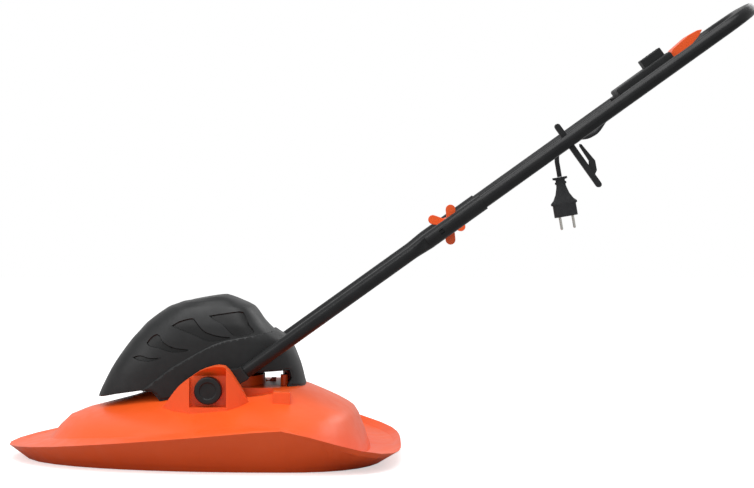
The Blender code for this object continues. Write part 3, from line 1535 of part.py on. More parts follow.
def make_button(handle):
    """The lock button with its ribbed top, standing on a stem over the switch module."""
    flange = 3 * MM
    skirt_top = BOX_TOP - BOX_WALL - GAP
    skirt_foot = skirt_top - 2 * MM
    button = box(
        "lock_button", "black",
        (BUTTON_START, -BUTTON_WIDTH / 2, skirt_foot), (BUTTON_END, BUTTON_WIDTH / 2, BUTTON_TOP),
        handle,
    )
    bevel(button, 1.5 * MM)
    join(button, box(
        "button_flange", None,
        (BUTTON_START - flange, -BUTTON_WIDTH / 2 - flange, skirt_foot),
        (BUTTON_END - 1 * MM, BUTTON_WIDTH / 2 + flange, skirt_top), handle,
    ))
    for index in range(5):
        x = BUTTON_START + (5 + 6.2 * index) * MM
        cut(button, box(
            "button_groove_%d" % index, None,
            (x, -BUTTON_WIDTH, BUTTON_TOP - 1.2 * MM), (x + 2.6 * MM, BUTTON_WIDTH, BUTTON_TOP + 5 * MM),
            handle,
        ))
    stem_foot = skirt_foot - 3 * MM
    centre = (BUTTON_START + BUTTON_END) / 2
    join(button, rod(
        "button_stem", None, 4 * MM, (centre, 0, skirt_foot + 1 * MM), (centre, 0, stem_foot),
        handle, 20,
    ))
    module_top = stem_foot - BUTTON_TRAVEL - GAP
    module = box(
        "switch_module", "fan",
        (centre - 22 * MM, -14 * MM, BOX_BOTTOM + BOX_WALL + GAP),
        (centre + 10 * MM, 14 * MM, module_top), handle, 1 * MM,
    )
    return module


# Cord and plug


CORD_BEND_AT = (634.8 * MM, -39.8 * MM)
CORD_BEND_RADIUS = 30.8 * MM
CORD_HANG = math.radians(25.8)
CORD_ROUTE = (
    # between the strain relief and the hook's peg: along the handle, across, square to it
    (690, -43.5, -23.4), (678, -46, -25.3), (666.5, -50, -23.3),
)
CORD_PEG_Y = -66.5 * MM
CORD_END = 23 * MM


def relief_point(out):
    """A point on the strain relief's axis, so far outside the switch box's end."""
    along = Vector((-math.cos(RELIEF_TILT), 0, -math.sin(RELIEF_TILT)))
    return Vector((BOX_START, RELIEF_Y, RELIEF_Z)) + along * out


def cord_route():
    """Points chosen along the cord, from the strain relief to the plug."""
    first = RELIEF_STAND + RELIEF_LENGTH + GAP
    points = [relief_point(first), relief_point(first + CORD_DIAMETER)]
    points += [Vector(point) * MM for point in CORD_ROUTE]
    start, end = 46, 180 - math.degrees(CORD_HANG)
    bend = arc(CORD_BEND_AT, CORD_BEND_RADIUS, start, end, 5)
    for k, (x, z) in enumerate(bend):
        share = min(1, (k + 1) / 3)
        points.append(Vector((x, -52 * MM + (CORD_PEG_Y + 52 * MM) * share, z)))
    down = Vector((-math.sin(CORD_HANG), 0, -math.cos(CORD_HANG)))
    points += [points[-1] + down * CORD_END / 2, points[-1] + down * CORD_END]
    return points


def cord_points():
    return smooth_path(cord_route(), 2 * CORD_DIAMETER)


def make_cord(handle):
    profile = [
        (CORD_DIAMETER / 2 + 1 * MM, 6 * MM), (CORD_DIAMETER / 2 + 1 * MM, 0),
        (RELIEF_RADIUS, 0), (RELIEF_RADIUS, -3 * MM), (RELIEF_RADIUS - 1 * MM, -3 * MM),
        (CORD_DIAMETER / 2 + 1 * MM, -RELIEF_LENGTH), (0, -RELIEF_LENGTH), (0, 6 * MM),
    ]
    relief = turned(
        "strain_relief", "rubber", profile, handle,
        relief_point(RELIEF_STAND), (0, math.pi / 2 - RELIEF_TILT, 0), steps=24,
    )
    swept("mains_cord", "rubber", cord_points(), CORD_DIAMETER / 2, handle, CORD_BEVEL_STEPS)
    return relief


def make_plug(handle):
    """A moulded two-pin plug that hangs from the end of the cord."""
    points = cord_route()
    down = (points[-1] - points[-2]).normalized()
    across = Vector((0, 1, 0))
    wide = down.cross(across).normalized()
    frame = Matrix((wide, across, -down)).transposed().to_4x4()
    frame.translation = points[-1] + down * GAP
    axis = empty("plug_axis", handle)
    axis.matrix_local = frame

    # Rings down the body: distance along it, half width and half depth
    sections = (
        (0, 11, 5.5), (3, 11, 5.5), (4, 7, 4.8), (6.5, 7, 4.8), (7.5, 8.6, 5.2),
        (10, 8.6, 5.2), (11, 7, 5), (15, 7.6, 5.6), (25, 10.5, 7.5), (33, 15, 9),
        (37.5, 19.6, 9.8), (40, 19.6, 10), (41, 17.4, 9.6), (58.5, 17.4, 9.4),
    )
    sides = 16
    bm = bmesh.new()
    rows = []
    for along, half_width, half_depth in sections:
        row = []
        for k in range(sides):
            angle = 2 * math.pi * k / sides
            c, s = math.cos(angle), math.sin(angle)
            x = math.copysign(abs(c) ** 0.55, c) * half_width * MM
            y = math.copysign(abs(s) ** 0.55, s) * half_depth * MM
            row.append(bm.verts.new((x, y, -along * MM)))
        rows.append(row)
    for first, second in zip(rows, rows[1:]):
        for i in range(sides):
            j = (i + 1) % sides
            bm.faces.new((first[i], first[j], second[j], second[i]))
    bm.faces.new(rows[0])
    bm.faces.new(rows[-1])
    body = link_mesh("plug_body", mesh_of(bm, "plug_body"), "rubber", axis)
    face = -sections[-1][0] * MM
    for name, facing in (("a", -1), ("b", 1)):
        x = facing * PLUG_PIN_SPACING / 2
        seat = 8 * MM
        cut(body, rod(
            "pin_seat_" + name, None, PLUG_PIN_RADIUS + GAP,
            (x, 0, face - 2 * MM), (x, 0, face + seat), axis, 20,
        ))
        turned(
            "plug_pin_" + name, "zinc",
            [
                (PLUG_PIN_RADIUS, face + seat - GAP), (PLUG_PIN_RADIUS, face - PLUG_PIN_LENGTH + 1.2 * MM),
                (0.9 * MM, face - PLUG_PIN_LENGTH), (0, face - PLUG_PIN_LENGTH), (0, face + seat - GAP),
            ],
            axis, (x, 0, 0), steps=20,
        )


def make_cover_screws(frame):
    for name, (x, y) in cover_fixings():
        seat = POST_FOOT_Z - GAP
        screw("cover_screw_" + name, frame, (x, y, seat), (0, 0, 1), 32 * MM)


# Whole mower


def main():
    rear_x = (
        PIVOT_X
        + BAR_AT * math.cos(HANDLE_ANGLE)
        + TUBE_DROP * math.sin(HANDLE_ANGLE)
        + TUBE_RADIUS
    )
    frame = empty("mower_origin", None, (-(HOOD_FRONT + rear_x) / 2, 0, 0))
    make_hood(frame)
    make_cover(frame)
    make_cover_screws(frame)
    shaft_top = make_motor(frame)
    make_rotor(frame, shaft_top)
    make_pivot_pins(frame)
    handle = empty("handle_pivot", frame, (PIVOT_X, 0, PIVOT_Z), (0, -HANDLE_ANGLE, 0))
    for side, facing in (("left", -1), ("right", 1)):
        make_arm(side, facing, handle)
    make_upper_handle(handle)
    for side, facing in (("left", -1), ("right", 1)):
        make_wing_knob(side, facing, handle)
    make_cord_hook(handle)
    make_switch_box(handle)
    make_lever(handle)
    make_button(handle)
    make_cord(handle)
    make_plug(handle)
    bpy.context.view_layer.update()


main()
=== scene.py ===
"""Looks of the hover mower: camera, light, floor, finishes and smooth-shaded pieces.

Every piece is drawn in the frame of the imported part, in metres. The motor cover's outlines are
in millimetres, with x from the hood's centre.
"""

import json
import math

import bmesh
import bpy
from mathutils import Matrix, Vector
from mathutils.bvhtree import BVHTree


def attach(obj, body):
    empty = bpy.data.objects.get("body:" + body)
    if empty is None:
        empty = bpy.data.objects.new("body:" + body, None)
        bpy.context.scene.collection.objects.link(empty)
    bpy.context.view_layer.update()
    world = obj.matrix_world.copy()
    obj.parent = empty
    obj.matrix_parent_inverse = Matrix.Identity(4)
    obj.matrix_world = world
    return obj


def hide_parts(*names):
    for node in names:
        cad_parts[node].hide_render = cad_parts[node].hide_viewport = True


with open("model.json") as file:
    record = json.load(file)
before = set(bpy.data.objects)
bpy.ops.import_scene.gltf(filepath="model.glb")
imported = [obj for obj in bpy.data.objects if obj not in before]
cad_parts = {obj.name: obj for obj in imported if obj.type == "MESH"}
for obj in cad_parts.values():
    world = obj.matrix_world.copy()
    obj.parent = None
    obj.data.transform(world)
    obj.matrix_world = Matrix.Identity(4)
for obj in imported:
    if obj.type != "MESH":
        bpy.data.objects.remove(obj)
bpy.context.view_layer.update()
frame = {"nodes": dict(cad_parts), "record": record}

MM = 0.001
BODY_OF = {
    node: body
    for body, nodes in frame["record"]["behaviour"]["bodies"].items()
    for node in nodes
}
SLOT_OF = {part["node"]: part["material_slot"] for part in frame["record"]["subparts"]}

# Camera, found from the photograph's near and far tubes and its plug
IMAGE_WIDTH = 754
FOCAL_PIXELS = 1855
CAMERA_AT = (-4 * MM, -2800 * MM, 393 * MM)
CAMERA_PITCH = math.radians(-1.5)
SENSOR_WIDTH = 36
FARTHEST = 50

# Floor: its size and place, its tone to the camera, the light it sends back, and its own glow
FLOOR_HALF_SIDE = 6
FLOOR_Z = -0.3 * MM
FLOOR_WHITE = (0.8, 0.8, 0.8)
FLOOR_BOUNCE = (0.42, 0.42, 0.42)
FLOOR_GLOW = 0.55

# Lights: name, place, aim, size, power
LIGHTS = (
    ("overhead", (-0.35, -0.9, 2.6), (-0.15, 0, 0.1), (2.4, 1.8), 44),
    ("front_left", (-2.4, -1.6, 1.5), (-0.2, 0, 0.2), (1.6, 1.6), 16),
    ("behind_right", (1.6, 1.6, 1.7), (0, 0, 0.3), (1.6, 1.2), 12),
)
WORLD_LIGHT = 0.6
BACKDROP_LIGHT = 1.0

# The part of a noise's range that carries nearly all of its values
NOISE_MIDDLE = (0.3, 0.7)

# Edge rounding, the angle beyond which an edge stays sharp, and what counts as one point or plane
EDGE = 0.5 * MM
WIDE_EDGE = 0.9 * MM
EDGE_SEGMENTS = 2
SHARP_ANGLE = math.radians(30)
FLAT_ANGLE = math.radians(0.1)
WELD = 0.01 * MM

# Hood: its centre in millimetres, and its skirt's tall facets, with how far they face down
HOOD_CENTRE_X = -263.02
SKIRT_TALL = 34 * MM
SKIRT_NORMAL_Z = (-0.95, -0.02)
SKIRT_STRIPS = 9

# Mains cord, whose route repeats the chosen points of the part's own
CORD_DIAMETER = 7 * MM
CORD_STEP = 3.5 * MM
CORD_ROUNDNESS = 6


# Camera, light and floor


def make_camera():
    """The photograph's camera."""
    data = bpy.data.cameras.new("camera")
    data.sensor_width = SENSOR_WIDTH
    data.lens = SENSOR_WIDTH * FOCAL_PIXELS / IMAGE_WIDTH
    data.clip_end = FARTHEST
    camera = bpy.data.objects.new("camera", data)
    camera.location = CAMERA_AT
    camera.rotation_euler = (math.pi / 2 + CAMERA_PITCH, 0, 0)
    bpy.context.scene.collection.objects.link(camera)
    bpy.context.scene.camera = camera


def area_light(name, at, aim, size, power):
    """A rectangular lamp that points from its place at its aim."""
    data = bpy.data.lights.new(name, "AREA")
    data.shape = "RECTANGLE"
    data.size, data.size_y = size
    data.energy = power
    light = bpy.data.objects.new(name, data)
    light.location = at
    light.rotation_euler = (Vector(aim) - Vector(at)).to_track_quat("-Z", "Y").to_euler()
    bpy.context.scene.collection.objects.link(light)


def make_studio():
    """White behind the object, an even light all round and the three lamps."""
    scene = bpy.context.scene
    scene.view_settings.view_transform = "Standard"
    world = bpy.data.worlds.new("studio")
    scene.world = world
    world.use_nodes = True
    nodes, links = world.node_tree.nodes, world.node_tree.links
    background = nodes["Background"]
    background.inputs["Color"].default_value = (1, 1, 1, 1)
    background.inputs["Strength"].default_value = WORLD_LIGHT
    backdrop = nodes.new("ShaderNodeBackground")
    backdrop.inputs["Color"].default_value = (1, 1, 1, 1)
    backdrop.inputs["Strength"].default_value = BACKDROP_LIGHT
    rays = nodes.new("ShaderNodeLightPath")
    mix = nodes.new("ShaderNodeMixShader")
    links.new(rays.outputs["Is Camera Ray"], mix.inputs["Fac"])
    links.new(background.outputs["Background"], mix.inputs[1])
    links.new(backdrop.outputs["Background"], mix.inputs[2])
    links.new(mix.outputs["Shader"], nodes["World Output"].inputs["Surface"])
    for light in LIGHTS:
        area_light(*light)


def make_floor():
    """A plain sheet just under the mower."""
    bm = bmesh.new()
    bmesh.ops.create_grid(bm, x_segments=1, y_segments=1, size=FLOOR_HALF_SIDE)
    mesh = bpy.data.meshes.new("floor")
    bm.to_mesh(mesh)
    bm.free()
    floor = bpy.data.objects.new("floor", mesh)
    floor.location.z = FLOOR_Z
    bpy.context.scene.collection.objects.link(floor)
    mesh.materials.append(floor_paint())


def floor_paint():
    """White paper to the camera, and a duller floor to the light that it sends back."""
    paint = bpy.data.materials.new("floor")
    paint.use_nodes = True
    nodes, links = paint.node_tree.nodes, paint.node_tree.links
    shader = nodes["Principled BSDF"]
    shader.inputs["Roughness"].default_value = 0.9
    shader.inputs["Specular IOR Level"].default_value = 0.0
    shader.inputs["Emission Color"].default_value = (1, 1, 1, 1)
    rays = nodes.new("ShaderNodeLightPath")
    tone = nodes.new("ShaderNodeMix")
    tone.data_type = "RGBA"
    tone.inputs["A"].default_value = (*FLOOR_BOUNCE, 1)
    tone.inputs["B"].default_value = (*FLOOR_WHITE, 1)
    links.new(rays.outputs["Is Camera Ray"], tone.inputs["Factor"])
    links.new(tone.outputs["Result"], shader.inputs["Base Color"])
    glow = nodes.new("ShaderNodeMapRange")
    glow.inputs["To Max"].default_value = FLOOR_GLOW
    links.new(rays.outputs["Is Camera Ray"], glow.inputs["Value"])
    links.new(glow.outputs["Result"], shader.inputs["Emission Strength"])
    return paint


# Materials


class Finish:
    """A material under construction, with short calls for the nodes that it uses."""

    def __init__(self, name):
        self.material = bpy.data.materials.new(name)
        self.material.use_nodes = True
        self.nodes = self.material.node_tree.nodes
        self.links = self.material.node_tree.links
        self.shader = self.nodes["Principled BSDF"]
        self.place = self.nodes.new("ShaderNodeTexCoord").outputs["Object"]

    def noise(self, scale, detail, stretch=None):
        """Noise over the object's own space, stretched along its axes where that is given."""
        source = self.place
        if stretch:
            mapping = self.nodes.new("ShaderNodeMapping")
            mapping.inputs["Scale"].default_value = stretch
            self.links.new(source, mapping.inputs["Vector"])
            source = mapping.outputs["Vector"]
        noise = self.nodes.new("ShaderNodeTexNoise")
        noise.inputs["Scale"].default_value = scale
        noise.inputs["Detail"].default_value = detail
        self.links.new(source, noise.inputs["Vector"])
        return noise.outputs["Fac"]

    def vary(self, value, low, high):
        """A number that runs from low to high as the value runs over its middle range."""
        ramp = self.nodes.new("ShaderNodeMapRange")
        ramp.inputs["From Min"].default_value = NOISE_MIDDLE[0]
        ramp.inputs["From Max"].default_value = NOISE_MIDDLE[1]
        ramp.inputs["To Min"].default_value = low
        ramp.inputs["To Max"].default_value = high
        self.links.new(value, ramp.inputs["Value"])
        return ramp.outputs["Result"]

    def colour(self, value, low, high):
        """Base colour that runs from low to high with the value."""
        mix = self.nodes.new("ShaderNodeMix")
        mix.data_type = "RGBA"
        mix.inputs["A"].default_value = (*low, 1)
        mix.inputs["B"].default_value = (*high, 1)
        self.links.new(self.vary(value, 0, 1), mix.inputs["Factor"])
        self.links.new(mix.outputs["Result"], self.shader.inputs["Base Color"])

    def roughness(self, value, low, high):
        """Roughness that runs from low to high with the value."""
        self.links.new(self.vary(value, low, high), self.shader.inputs["Roughness"])

    def bump(self, value, depth, before=None):
        """Bumps of the given depth, over those that came before."""
        bump = self.nodes.new("ShaderNodeBump")
        bump.inputs["Strength"].default_value = 1.0
        bump.inputs["Distance"].default_value = depth
        self.links.new(value, bump.inputs["Height"])
        if before:
            self.links.new(before, bump.inputs["Normal"])
        self.links.new(bump.outputs["Normal"], self.shader.inputs["Normal"])
        return bump.outputs["Normal"]

    def set(self, **values):
        """Sets the shader's own sockets and gives the finished material."""
        for name, value in values.items():
            self.shader.inputs[name.replace("_", " ")].default_value = value
        return self.material


def orange_plastic():
    """Glossy injection-moulded plastic with a faint flow pattern and a fine grain."""
    finish = Finish("orange_plastic")
    flow = finish.noise(7, 3)
    finish.colour(flow, (0.93, 0.105, 0.012), (1.0, 0.125, 0.018))
    finish.roughness(finish.noise(60, 3), 0.3, 0.4)
    finish.bump(finish.noise(1100, 2), 0.02 * MM, finish.bump(flow, 0.25 * MM))
    return finish.set(Specular_IOR_Level=0.5)


def black_plastic(name="black_plastic", tone=1.0):
    """Spark-textured black plastic, lighter or darker by the tone."""
    finish = Finish(name)
    finish.colour(
        finish.noise(90, 3),
        tuple(c * tone for c in (0.0112, 0.0118, 0.0124)),
        tuple(c * tone for c in (0.0158, 0.0165, 0.0172)),
    )
    finish.roughness(finish.noise(35, 2), 0.36, 0.48)
    finish.bump(finish.noise(1500, 2), 0.035 * MM)
    return finish.set(Specular_IOR_Level=0.36)


def coated_tube():
    """Powder coat on steel tube, with its slight orange peel."""
    finish = Finish("coated_tube")
    finish.colour(finish.noise(40, 3), (0.0095, 0.01, 0.0108), (0.014, 0.0145, 0.0153))
    finish.roughness(finish.noise(70, 2), 0.25, 0.34)
    finish.bump(finish.noise(650, 2), 0.015 * MM)
    return finish.set(Specular_IOR_Level=0.27)


def bare_steel():
    """Ground steel, with its grain along X."""
    finish = Finish("bare_steel")
    grain = finish.noise(900, 2, (0.04, 1, 1))
    finish.colour(grain, (0.48, 0.49, 0.51), (0.62, 0.63, 0.65))
    finish.roughness(grain, 0.26, 0.42)
    finish.bump(grain, 0.01 * MM)
    return finish.set(Metallic=1.0)


def plated_metal():
    """Plated brass and zinc, slightly uneven."""
    finish = Finish("plated_metal")
    finish.colour(finish.noise(220, 3), (0.6, 0.58, 0.52), (0.72, 0.71, 0.68))
    finish.roughness(finish.noise(140, 2), 0.2, 0.34)
    finish.bump(finish.noise(900, 2), 0.006 * MM)
    return finish.set(Metallic=1.0)


def soft_rubber():
    """Matt flexible sheath."""
    finish = Finish("soft_rubber")
    finish.colour(finish.noise(120, 3), (0.014, 0.015, 0.017), (0.024, 0.025, 0.027))
    finish.roughness(finish.noise(90, 2), 0.5, 0.64)
    finish.bump(finish.noise(1200, 2), 0.03 * MM)
    return finish.set(Specular_IOR_Level=0.4)


FINISHES = {
    "orange": orange_plastic(),
    "black": black_plastic(),
    "fan": black_plastic("fan_plastic", 1.8),
    # painted shade: the black plastic darkened to 0.3 for the floors of the cover's leaf-shaped
    # recesses
    "recess_shade": black_plastic("recess_shade_plastic", 0.3),
    "tube": coated_tube(),
    "steel": bare_steel(),
    "zinc": plated_metal(),
    "rubber": soft_rubber(),
}


# Pieces that stand for the part's nodes, with smooth shading and rounded edges


def stand_in(bm, node, kind):
    """A smooth-shaded object made of the mesh, in place of one of the part's nodes."""
    name = f"{node}_{kind}"
    mesh = bpy.data.meshes.new(name)
    bm.to_mesh(mesh)
    bm.free()
    mesh.shade_smooth()
    mesh.set_sharp_from_angle(angle=SHARP_ANGLE)
    mesh.materials.append(FINISHES[SLOT_OF[node]])
    piece = bpy.data.objects.new(name, mesh)
    bpy.context.scene.collection.objects.link(piece)
    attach(piece, BODY_OF[node])
    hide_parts(node)
    return piece


def is_tall_skirt(face):
    """Whether the face is one of the tall triangles on the outside of the hood's skirt."""
    lengths = sorted(edge.calc_length() for edge in face.edges)
    middle = face.calc_center_median()
    outward = face.normal.x * (middle.x - HOOD_CENTRE_X * MM) + face.normal.y * middle.y
    lowest, highest = SKIRT_NORMAL_Z
    return (
        len(lengths) == 3
        and lengths[1] > SKIRT_TALL
        and outward > 0
        and lowest < face.normal.z < highest
    )


def strip_the_skirt(bm):
    """Turns the tall twisted facets of the hood's skirt into low strips, which shade evenly."""
    longest = {
        face: max(face.edges, key=lambda edge: edge.calc_length())
        for face in bm.faces
        if is_tall_skirt(face)
    }
    diagonals = [
        edge for edge in dict.fromkeys(longest.values())
        if len(edge.link_faces) == 2 and all(longest.get(face) == edge for face in edge.link_faces)
    ]
    posts = dict.fromkeys(
        edge
        for diagonal in diagonals
        for face in diagonal.link_faces
        for edge in face.edges
        if edge.calc_length() > SKIRT_TALL and edge not in diagonals
    )
    bmesh.ops.dissolve_edges(bm, edges=diagonals, use_verts=False)
    bmesh.ops.subdivide_edges(bm, edges=list(posts), cuts=SKIRT_STRIPS, use_grid_fill=True)


def dressed(node):
    """The node's own solid with clean faces and rounded edges."""
    bm = bmesh.new()
    bm.from_mesh(frame["nodes"][node].data)
    bmesh.ops.remove_doubles(bm, verts=bm.verts, dist=WELD)
    if node == "hood":
        strip_the_skirt(bm)
    bmesh.ops.dissolve_limit(
        bm, angle_limit=FLAT_ANGLE, verts=bm.verts, edges=bm.edges, use_dissolve_boundaries=False
    )
    piece = stand_in(bm, node, "shell")
    bevel = piece.modifiers.new("edges", "BEVEL")
    bevel.width = WIDE_EDGE if node == "hood" else EDGE
    bevel.segments = EDGE_SEGMENTS
    bevel.limit_method = "ANGLE"
    bevel.angle_limit = SHARP_ANGLE
    even = piece.modifiers.new("even_normals", "WEIGHTED_NORMAL")
    even.keep_sharp = True
    return piece


# Curves


def smooth_path(points, step):
    """Points about a step apart on one smooth curve through the given ones."""
    ends = [2 * points[0] - points[1], *points, 2 * points[-1] - points[-2]]
    path = []
    for before, first, second, after in zip(ends, ends[1:], ends[2:], ends[3:]):
        count = max(1, round((second - first).length / step))
        for k in range(count):
            t = k / count
            path.append(
                0.5
                * (
                    2 * first
                    + (second - before) * t
                    + (2 * before - 5 * first + 4 * second - after) * t**2
                    + (3 * first - before - 3 * second + after) * t**3
                )
            )
    return [*path, points[-1]]


# Motor cover, as one dense skin through the same levels as the part's own


COVER_LEVELS = (
    # share of the way up, height, front, rear, middle, half width, rear power, front power
    (0.0, 76, -161, 156, 30, 77, 3.0, 3.0),
    (0.09, 92, -160, 153.5, 30, 77, 3.0, 3.0),
    (0.2, 112, -151.5, 148.5, 32, 76.8, 3.0, 3.2),
    (0.37, 143, -134.5, 140, 34, 75.6, 3.0, 3.4),
    (0.55, 176, -110.8, 124, 36, 72, 3.0, 3.4),
    (0.63, 190, -98.2, 105, 36, 69, 3.0, 3.4),
    (0.71, 204, -85, 91, 36, 64.5, 2.9, 3.4),
    (0.85, 226, -54.5, 74.8, 34, 53, 2.7, 3.2),
    (0.93, 235, -36, 58, 28, 43, 2.6, 3.0),
    (1.0, 240, -22, 34, 15, 33, 2.6, 2.8),
)
SHOULDER_FROM, SHOULDER_LOW = COVER_LEVELS[-3][:2]
STRIP_FROM = COVER_LEVELS[-2][0]
# (x, height) along the upper edge of the shoulder and along the middle of the top strip
SHOULDER = ((-40, 232.5), (15, 236.5), (56, 234.5))
STRIP = ((-24, 235), (15.5, 241.5), (34, 243.6))
OVAL_SAMPLES = 400
LEVEL_SAMPLES = 160
COVER_ROWS = 76
COVER_FRONT_COLUMNS = 84
COVER_REAR_COLUMNS = 46
COVER_WALL = 2.8
COVER_CLEAR = 0.4
ABOVE_HOOD_Z = 250
OFF_MIDLINE = 0.5
COVER_WELD = 0.02
CUT_REACH = 2
CUT_SNAP = 0.3
# Raised band: its upright step, the chamfer over it, and the chamfer's far edge from its near one
BAND_STEP = 1.2
BAND_CHAMFER = 1.3
CHAMFER_SHIFT = (0.9, -1.6)
BAND_CURVE_STEP = 6
# Leaf-shaped recesses, each an outline of (x, z) points seen from the side
LEAF_DEPTH = 1.8
LEAF_SLOPE = 0.9
LEAF_CURVE_STEP = 3
LEAVES = (
    ((-103, 153.5), (-92, 156.5), (-76, 153), (-60, 153.6), (-77, 148), (-94, 149.5)),
    (
        (-82, 175), (-74, 184.5), (-66, 188), (-62, 186), (-58, 178.4), (-49, 172),
        (-37, 168), (-16, 165), (-41, 161.5), (-66, 168), (-78, 170.5),
    ),
    (
        (-45, 200), (-33, 207), (-15, 211.5), (-10, 208.5), (-3, 200), (6, 192),
        (24, 186), (43, 183), (13, 177.5), (-10, 186.5), (-30, 194),
    ),
    (
        (10, 215), (29, 218), (57, 221), (64.5, 215), (70, 202.5), (77, 190),
        (52, 185), (41, 192), (31, 202.5), (20, 208),
    ),
)
# The band's upper line, the corners below it, and all that is cut away at the cover's lower edge
BAND_TOP = (
    (-92, 101), (-84.5, 107.9), (-53, 132), (-36.4, 143.7), (5.6, 167), (26.6, 176),
    (47.6, 181), (89.4, 188), (117, 190), (175, 190),
)
BAND_BELOW = ((175, 40), (-110, 40))
COVER_EDGE = (
    (-175, 40), (-175, 91), (-160, 92), (-130, 98.5), (-90, 105), (-72, 103.8),
    (-57.4, 86.8), (-46, 78), (26, 78), (42, 131), (128, 134), (131, 122), (126, 112), (126, 40),
)


def smooth_value(points, x):
    """The value at x of a smooth curve through (x, value) points in rising x."""
    last = len(points) - 1
    x = min(max(x, points[0][0]), points[-1][0])
    i = min(next(k for k in range(last) if points[k + 1][0] >= x), last - 1)
    slopes = []
    for k in (i, i + 1):
        before, after = points[max(k - 1, 0)], points[min(k + 1, last)]
        slopes.append((after[1] - before[1]) / (after[0] - before[0]))
    (x0, v0), (x1, v1) = points[i], points[i + 1]
    span = x1 - x0
    t = (x - x0) / span
    return (
        (2 * t**3 - 3 * t**2 + 1) * v0
        + (t**3 - 2 * t**2 + t) * span * slopes[0]
        + (3 * t**2 - 2 * t**3) * v1
        + (t**3 - t**2) * span * slopes[1]
    )


def squared_oval(power, count):
    """Evenly spaced (cosine, sine) pairs from the end of a squared-off quarter to its side."""
    dense = []
    for k in range(OVAL_SAMPLES + 1):
        angle = math.pi / 2 * k / OVAL_SAMPLES
        dense.append((abs(math.cos(angle)) ** (2 / power), abs(math.sin(angle)) ** (2 / power)))
    lengths = [0.0]
    for first, second in zip(dense, dense[1:]):
        lengths.append(lengths[-1] + math.dist(first, second))
    pairs = []
    k = 0
    for i in range(count + 1):
        wanted = lengths[-1] * i / count
        while k < len(dense) - 2 and lengths[k + 1] < wanted:
            k += 1
        share = (wanted - lengths[k]) / (lengths[k + 1] - lengths[k])
        pairs.append([a + (b - a) * min(max(share, 0), 1) for a, b in zip(dense[k], dense[k + 1])])
    return pairs


def cover_half_ring(share):
    """The outline on +Y at a share of the way up, from the rear end round to the front end."""
    values = [
        smooth_value([(row[0], row[column]) for row in COVER_LEVELS], share)
        for column in range(1, len(COVER_LEVELS[0]))
    ]
    height, front, rear, middle, half_width, rear_power, front_power = values
    back = squared_oval(rear_power, COVER_REAR_COLUMNS)
    fore = squared_oval(front_power, COVER_FRONT_COLUMNS)
    plan = [(middle + c * (rear - middle), s * half_width) for c, s in back]
    plan += [(middle - c * (middle - front), s * half_width) for c, s in reversed(fore[:-1])]
    ring = []
    for x, y in plan:
        z = height
        if share > SHOULDER_FROM:
            over = smooth_value(SHOULDER, x)
            if share <= STRIP_FROM:
                rise = (share - SHOULDER_FROM) / (STRIP_FROM - SHOULDER_FROM)
                z = SHOULDER_LOW * (1 - rise) + over * rise
            else:
                rise = (share - STRIP_FROM) / (1 - STRIP_FROM)
                z = over + (smooth_value(STRIP, x) - over) * rise
        ring.append(Vector((x, y, z)))
    return ring


def hood_heights():
    """A function that gives the height of the hood's top under a place, or the floor's."""
    mesh = frame["nodes"]["hood"].data
    corners = [vertex.co[:] for vertex in mesh.vertices]
    tree = BVHTree.FromPolygons(corners, [face.vertices[:] for face in mesh.polygons])

    def height(x, y):
        start = Vector(((x + HOOD_CENTRE_X) * MM, y * MM, ABOVE_HOOD_Z * MM))
        found = tree.ray_cast(start, Vector((0, 0, -1)))[0]
        return found.z / MM if found else 0.0

    return height


def cover_grid():
    """Columns of points up the right half of the cover, each from the hood upwards."""
    rings = [cover_half_ring(k / LEVEL_SAMPLES) for k in range(LEVEL_SAMPLES + 1)]
    height = hood_heights()
    columns = []
    for j in range(len(rings[0])):
        column = [ring[j] for ring in rings]
        low = 0
        floor = height(column[0].x, max(column[0].y, OFF_MIDLINE)) + COVER_CLEAR
        while low < len(column) - 2 and column[low + 1].z < floor:
            low += 1
        foot = low
        if column[low + 1].z > column[low].z:
            foot += min(max((floor - column[low].z) / (column[low + 1].z - column[low].z), 0), 1)
        points = []
        for i in range(COVER_ROWS + 1):
            at = foot + (len(column) - 1 - foot) * i / COVER_ROWS
            k = min(int(at), len(column) - 2)
            points.append(column[k].lerp(column[k + 1], at - k))
        columns.append(points)
    return columns


def slice_along(bm, outline, closed=True):
    """Cuts the mesh along the upright walls of an outline of (x, z) points."""
    ends = outline[1:] + outline[:1] if closed else outline[1:]
    for (x0, z0), (x1, z1) in zip(outline, ends):
        low_x, high_x = min(x0, x1) - CUT_REACH, max(x0, x1) + CUT_REACH
        low_z, high_z = min(z0, z1) - CUT_REACH, max(z0, z1) + CUT_REACH
        near = [
            face for face in bm.faces
            if low_x < face.calc_center_median().x < high_x
            and low_z < face.calc_center_median().z < high_z
        ]
        if not near:
            continue
        edges = dict.fromkeys(edge for face in near for edge in face.edges)
        verts = dict.fromkeys(vert for face in near for vert in face.verts)
        bmesh.ops.bisect_plane(
            bm, geom=[*near, *edges, *verts], dist=CUT_SNAP,
            plane_co=(x0, 0, z0), plane_no=(-(z1 - z0), 0, x1 - x0),
        )


def within(outline, x, z):
    """Whether (x, z) lies inside a closed outline."""
    inside = False
    for (x0, z0), (x1, z1) in zip(outline, outline[1:] + outline[:1]):
        if (z0 > z) != (z1 > z) and x < (x1 - x0) * (z - z0) / (z1 - z0) + x0:
            inside = not inside
    return inside


def smooth_outline(points, step, closed=True):
    """The (x, z) points of a smooth curve through the given ones."""
    points = [Vector((x, 0, z)) for x, z in points]
    path = smooth_path([*points, points[0]] if closed else points, step)
    return [(p.x, p.z) for p in (path[:-1] if closed else path)]


def faces_within(bm, outline):
    """The faces on both sides of the cover whose middle lies inside the outline."""
    middles = [(face, face.calc_center_median()) for face in bm.faces]
    return [face for face, middle in middles if within(outline, middle.x, middle.z)]


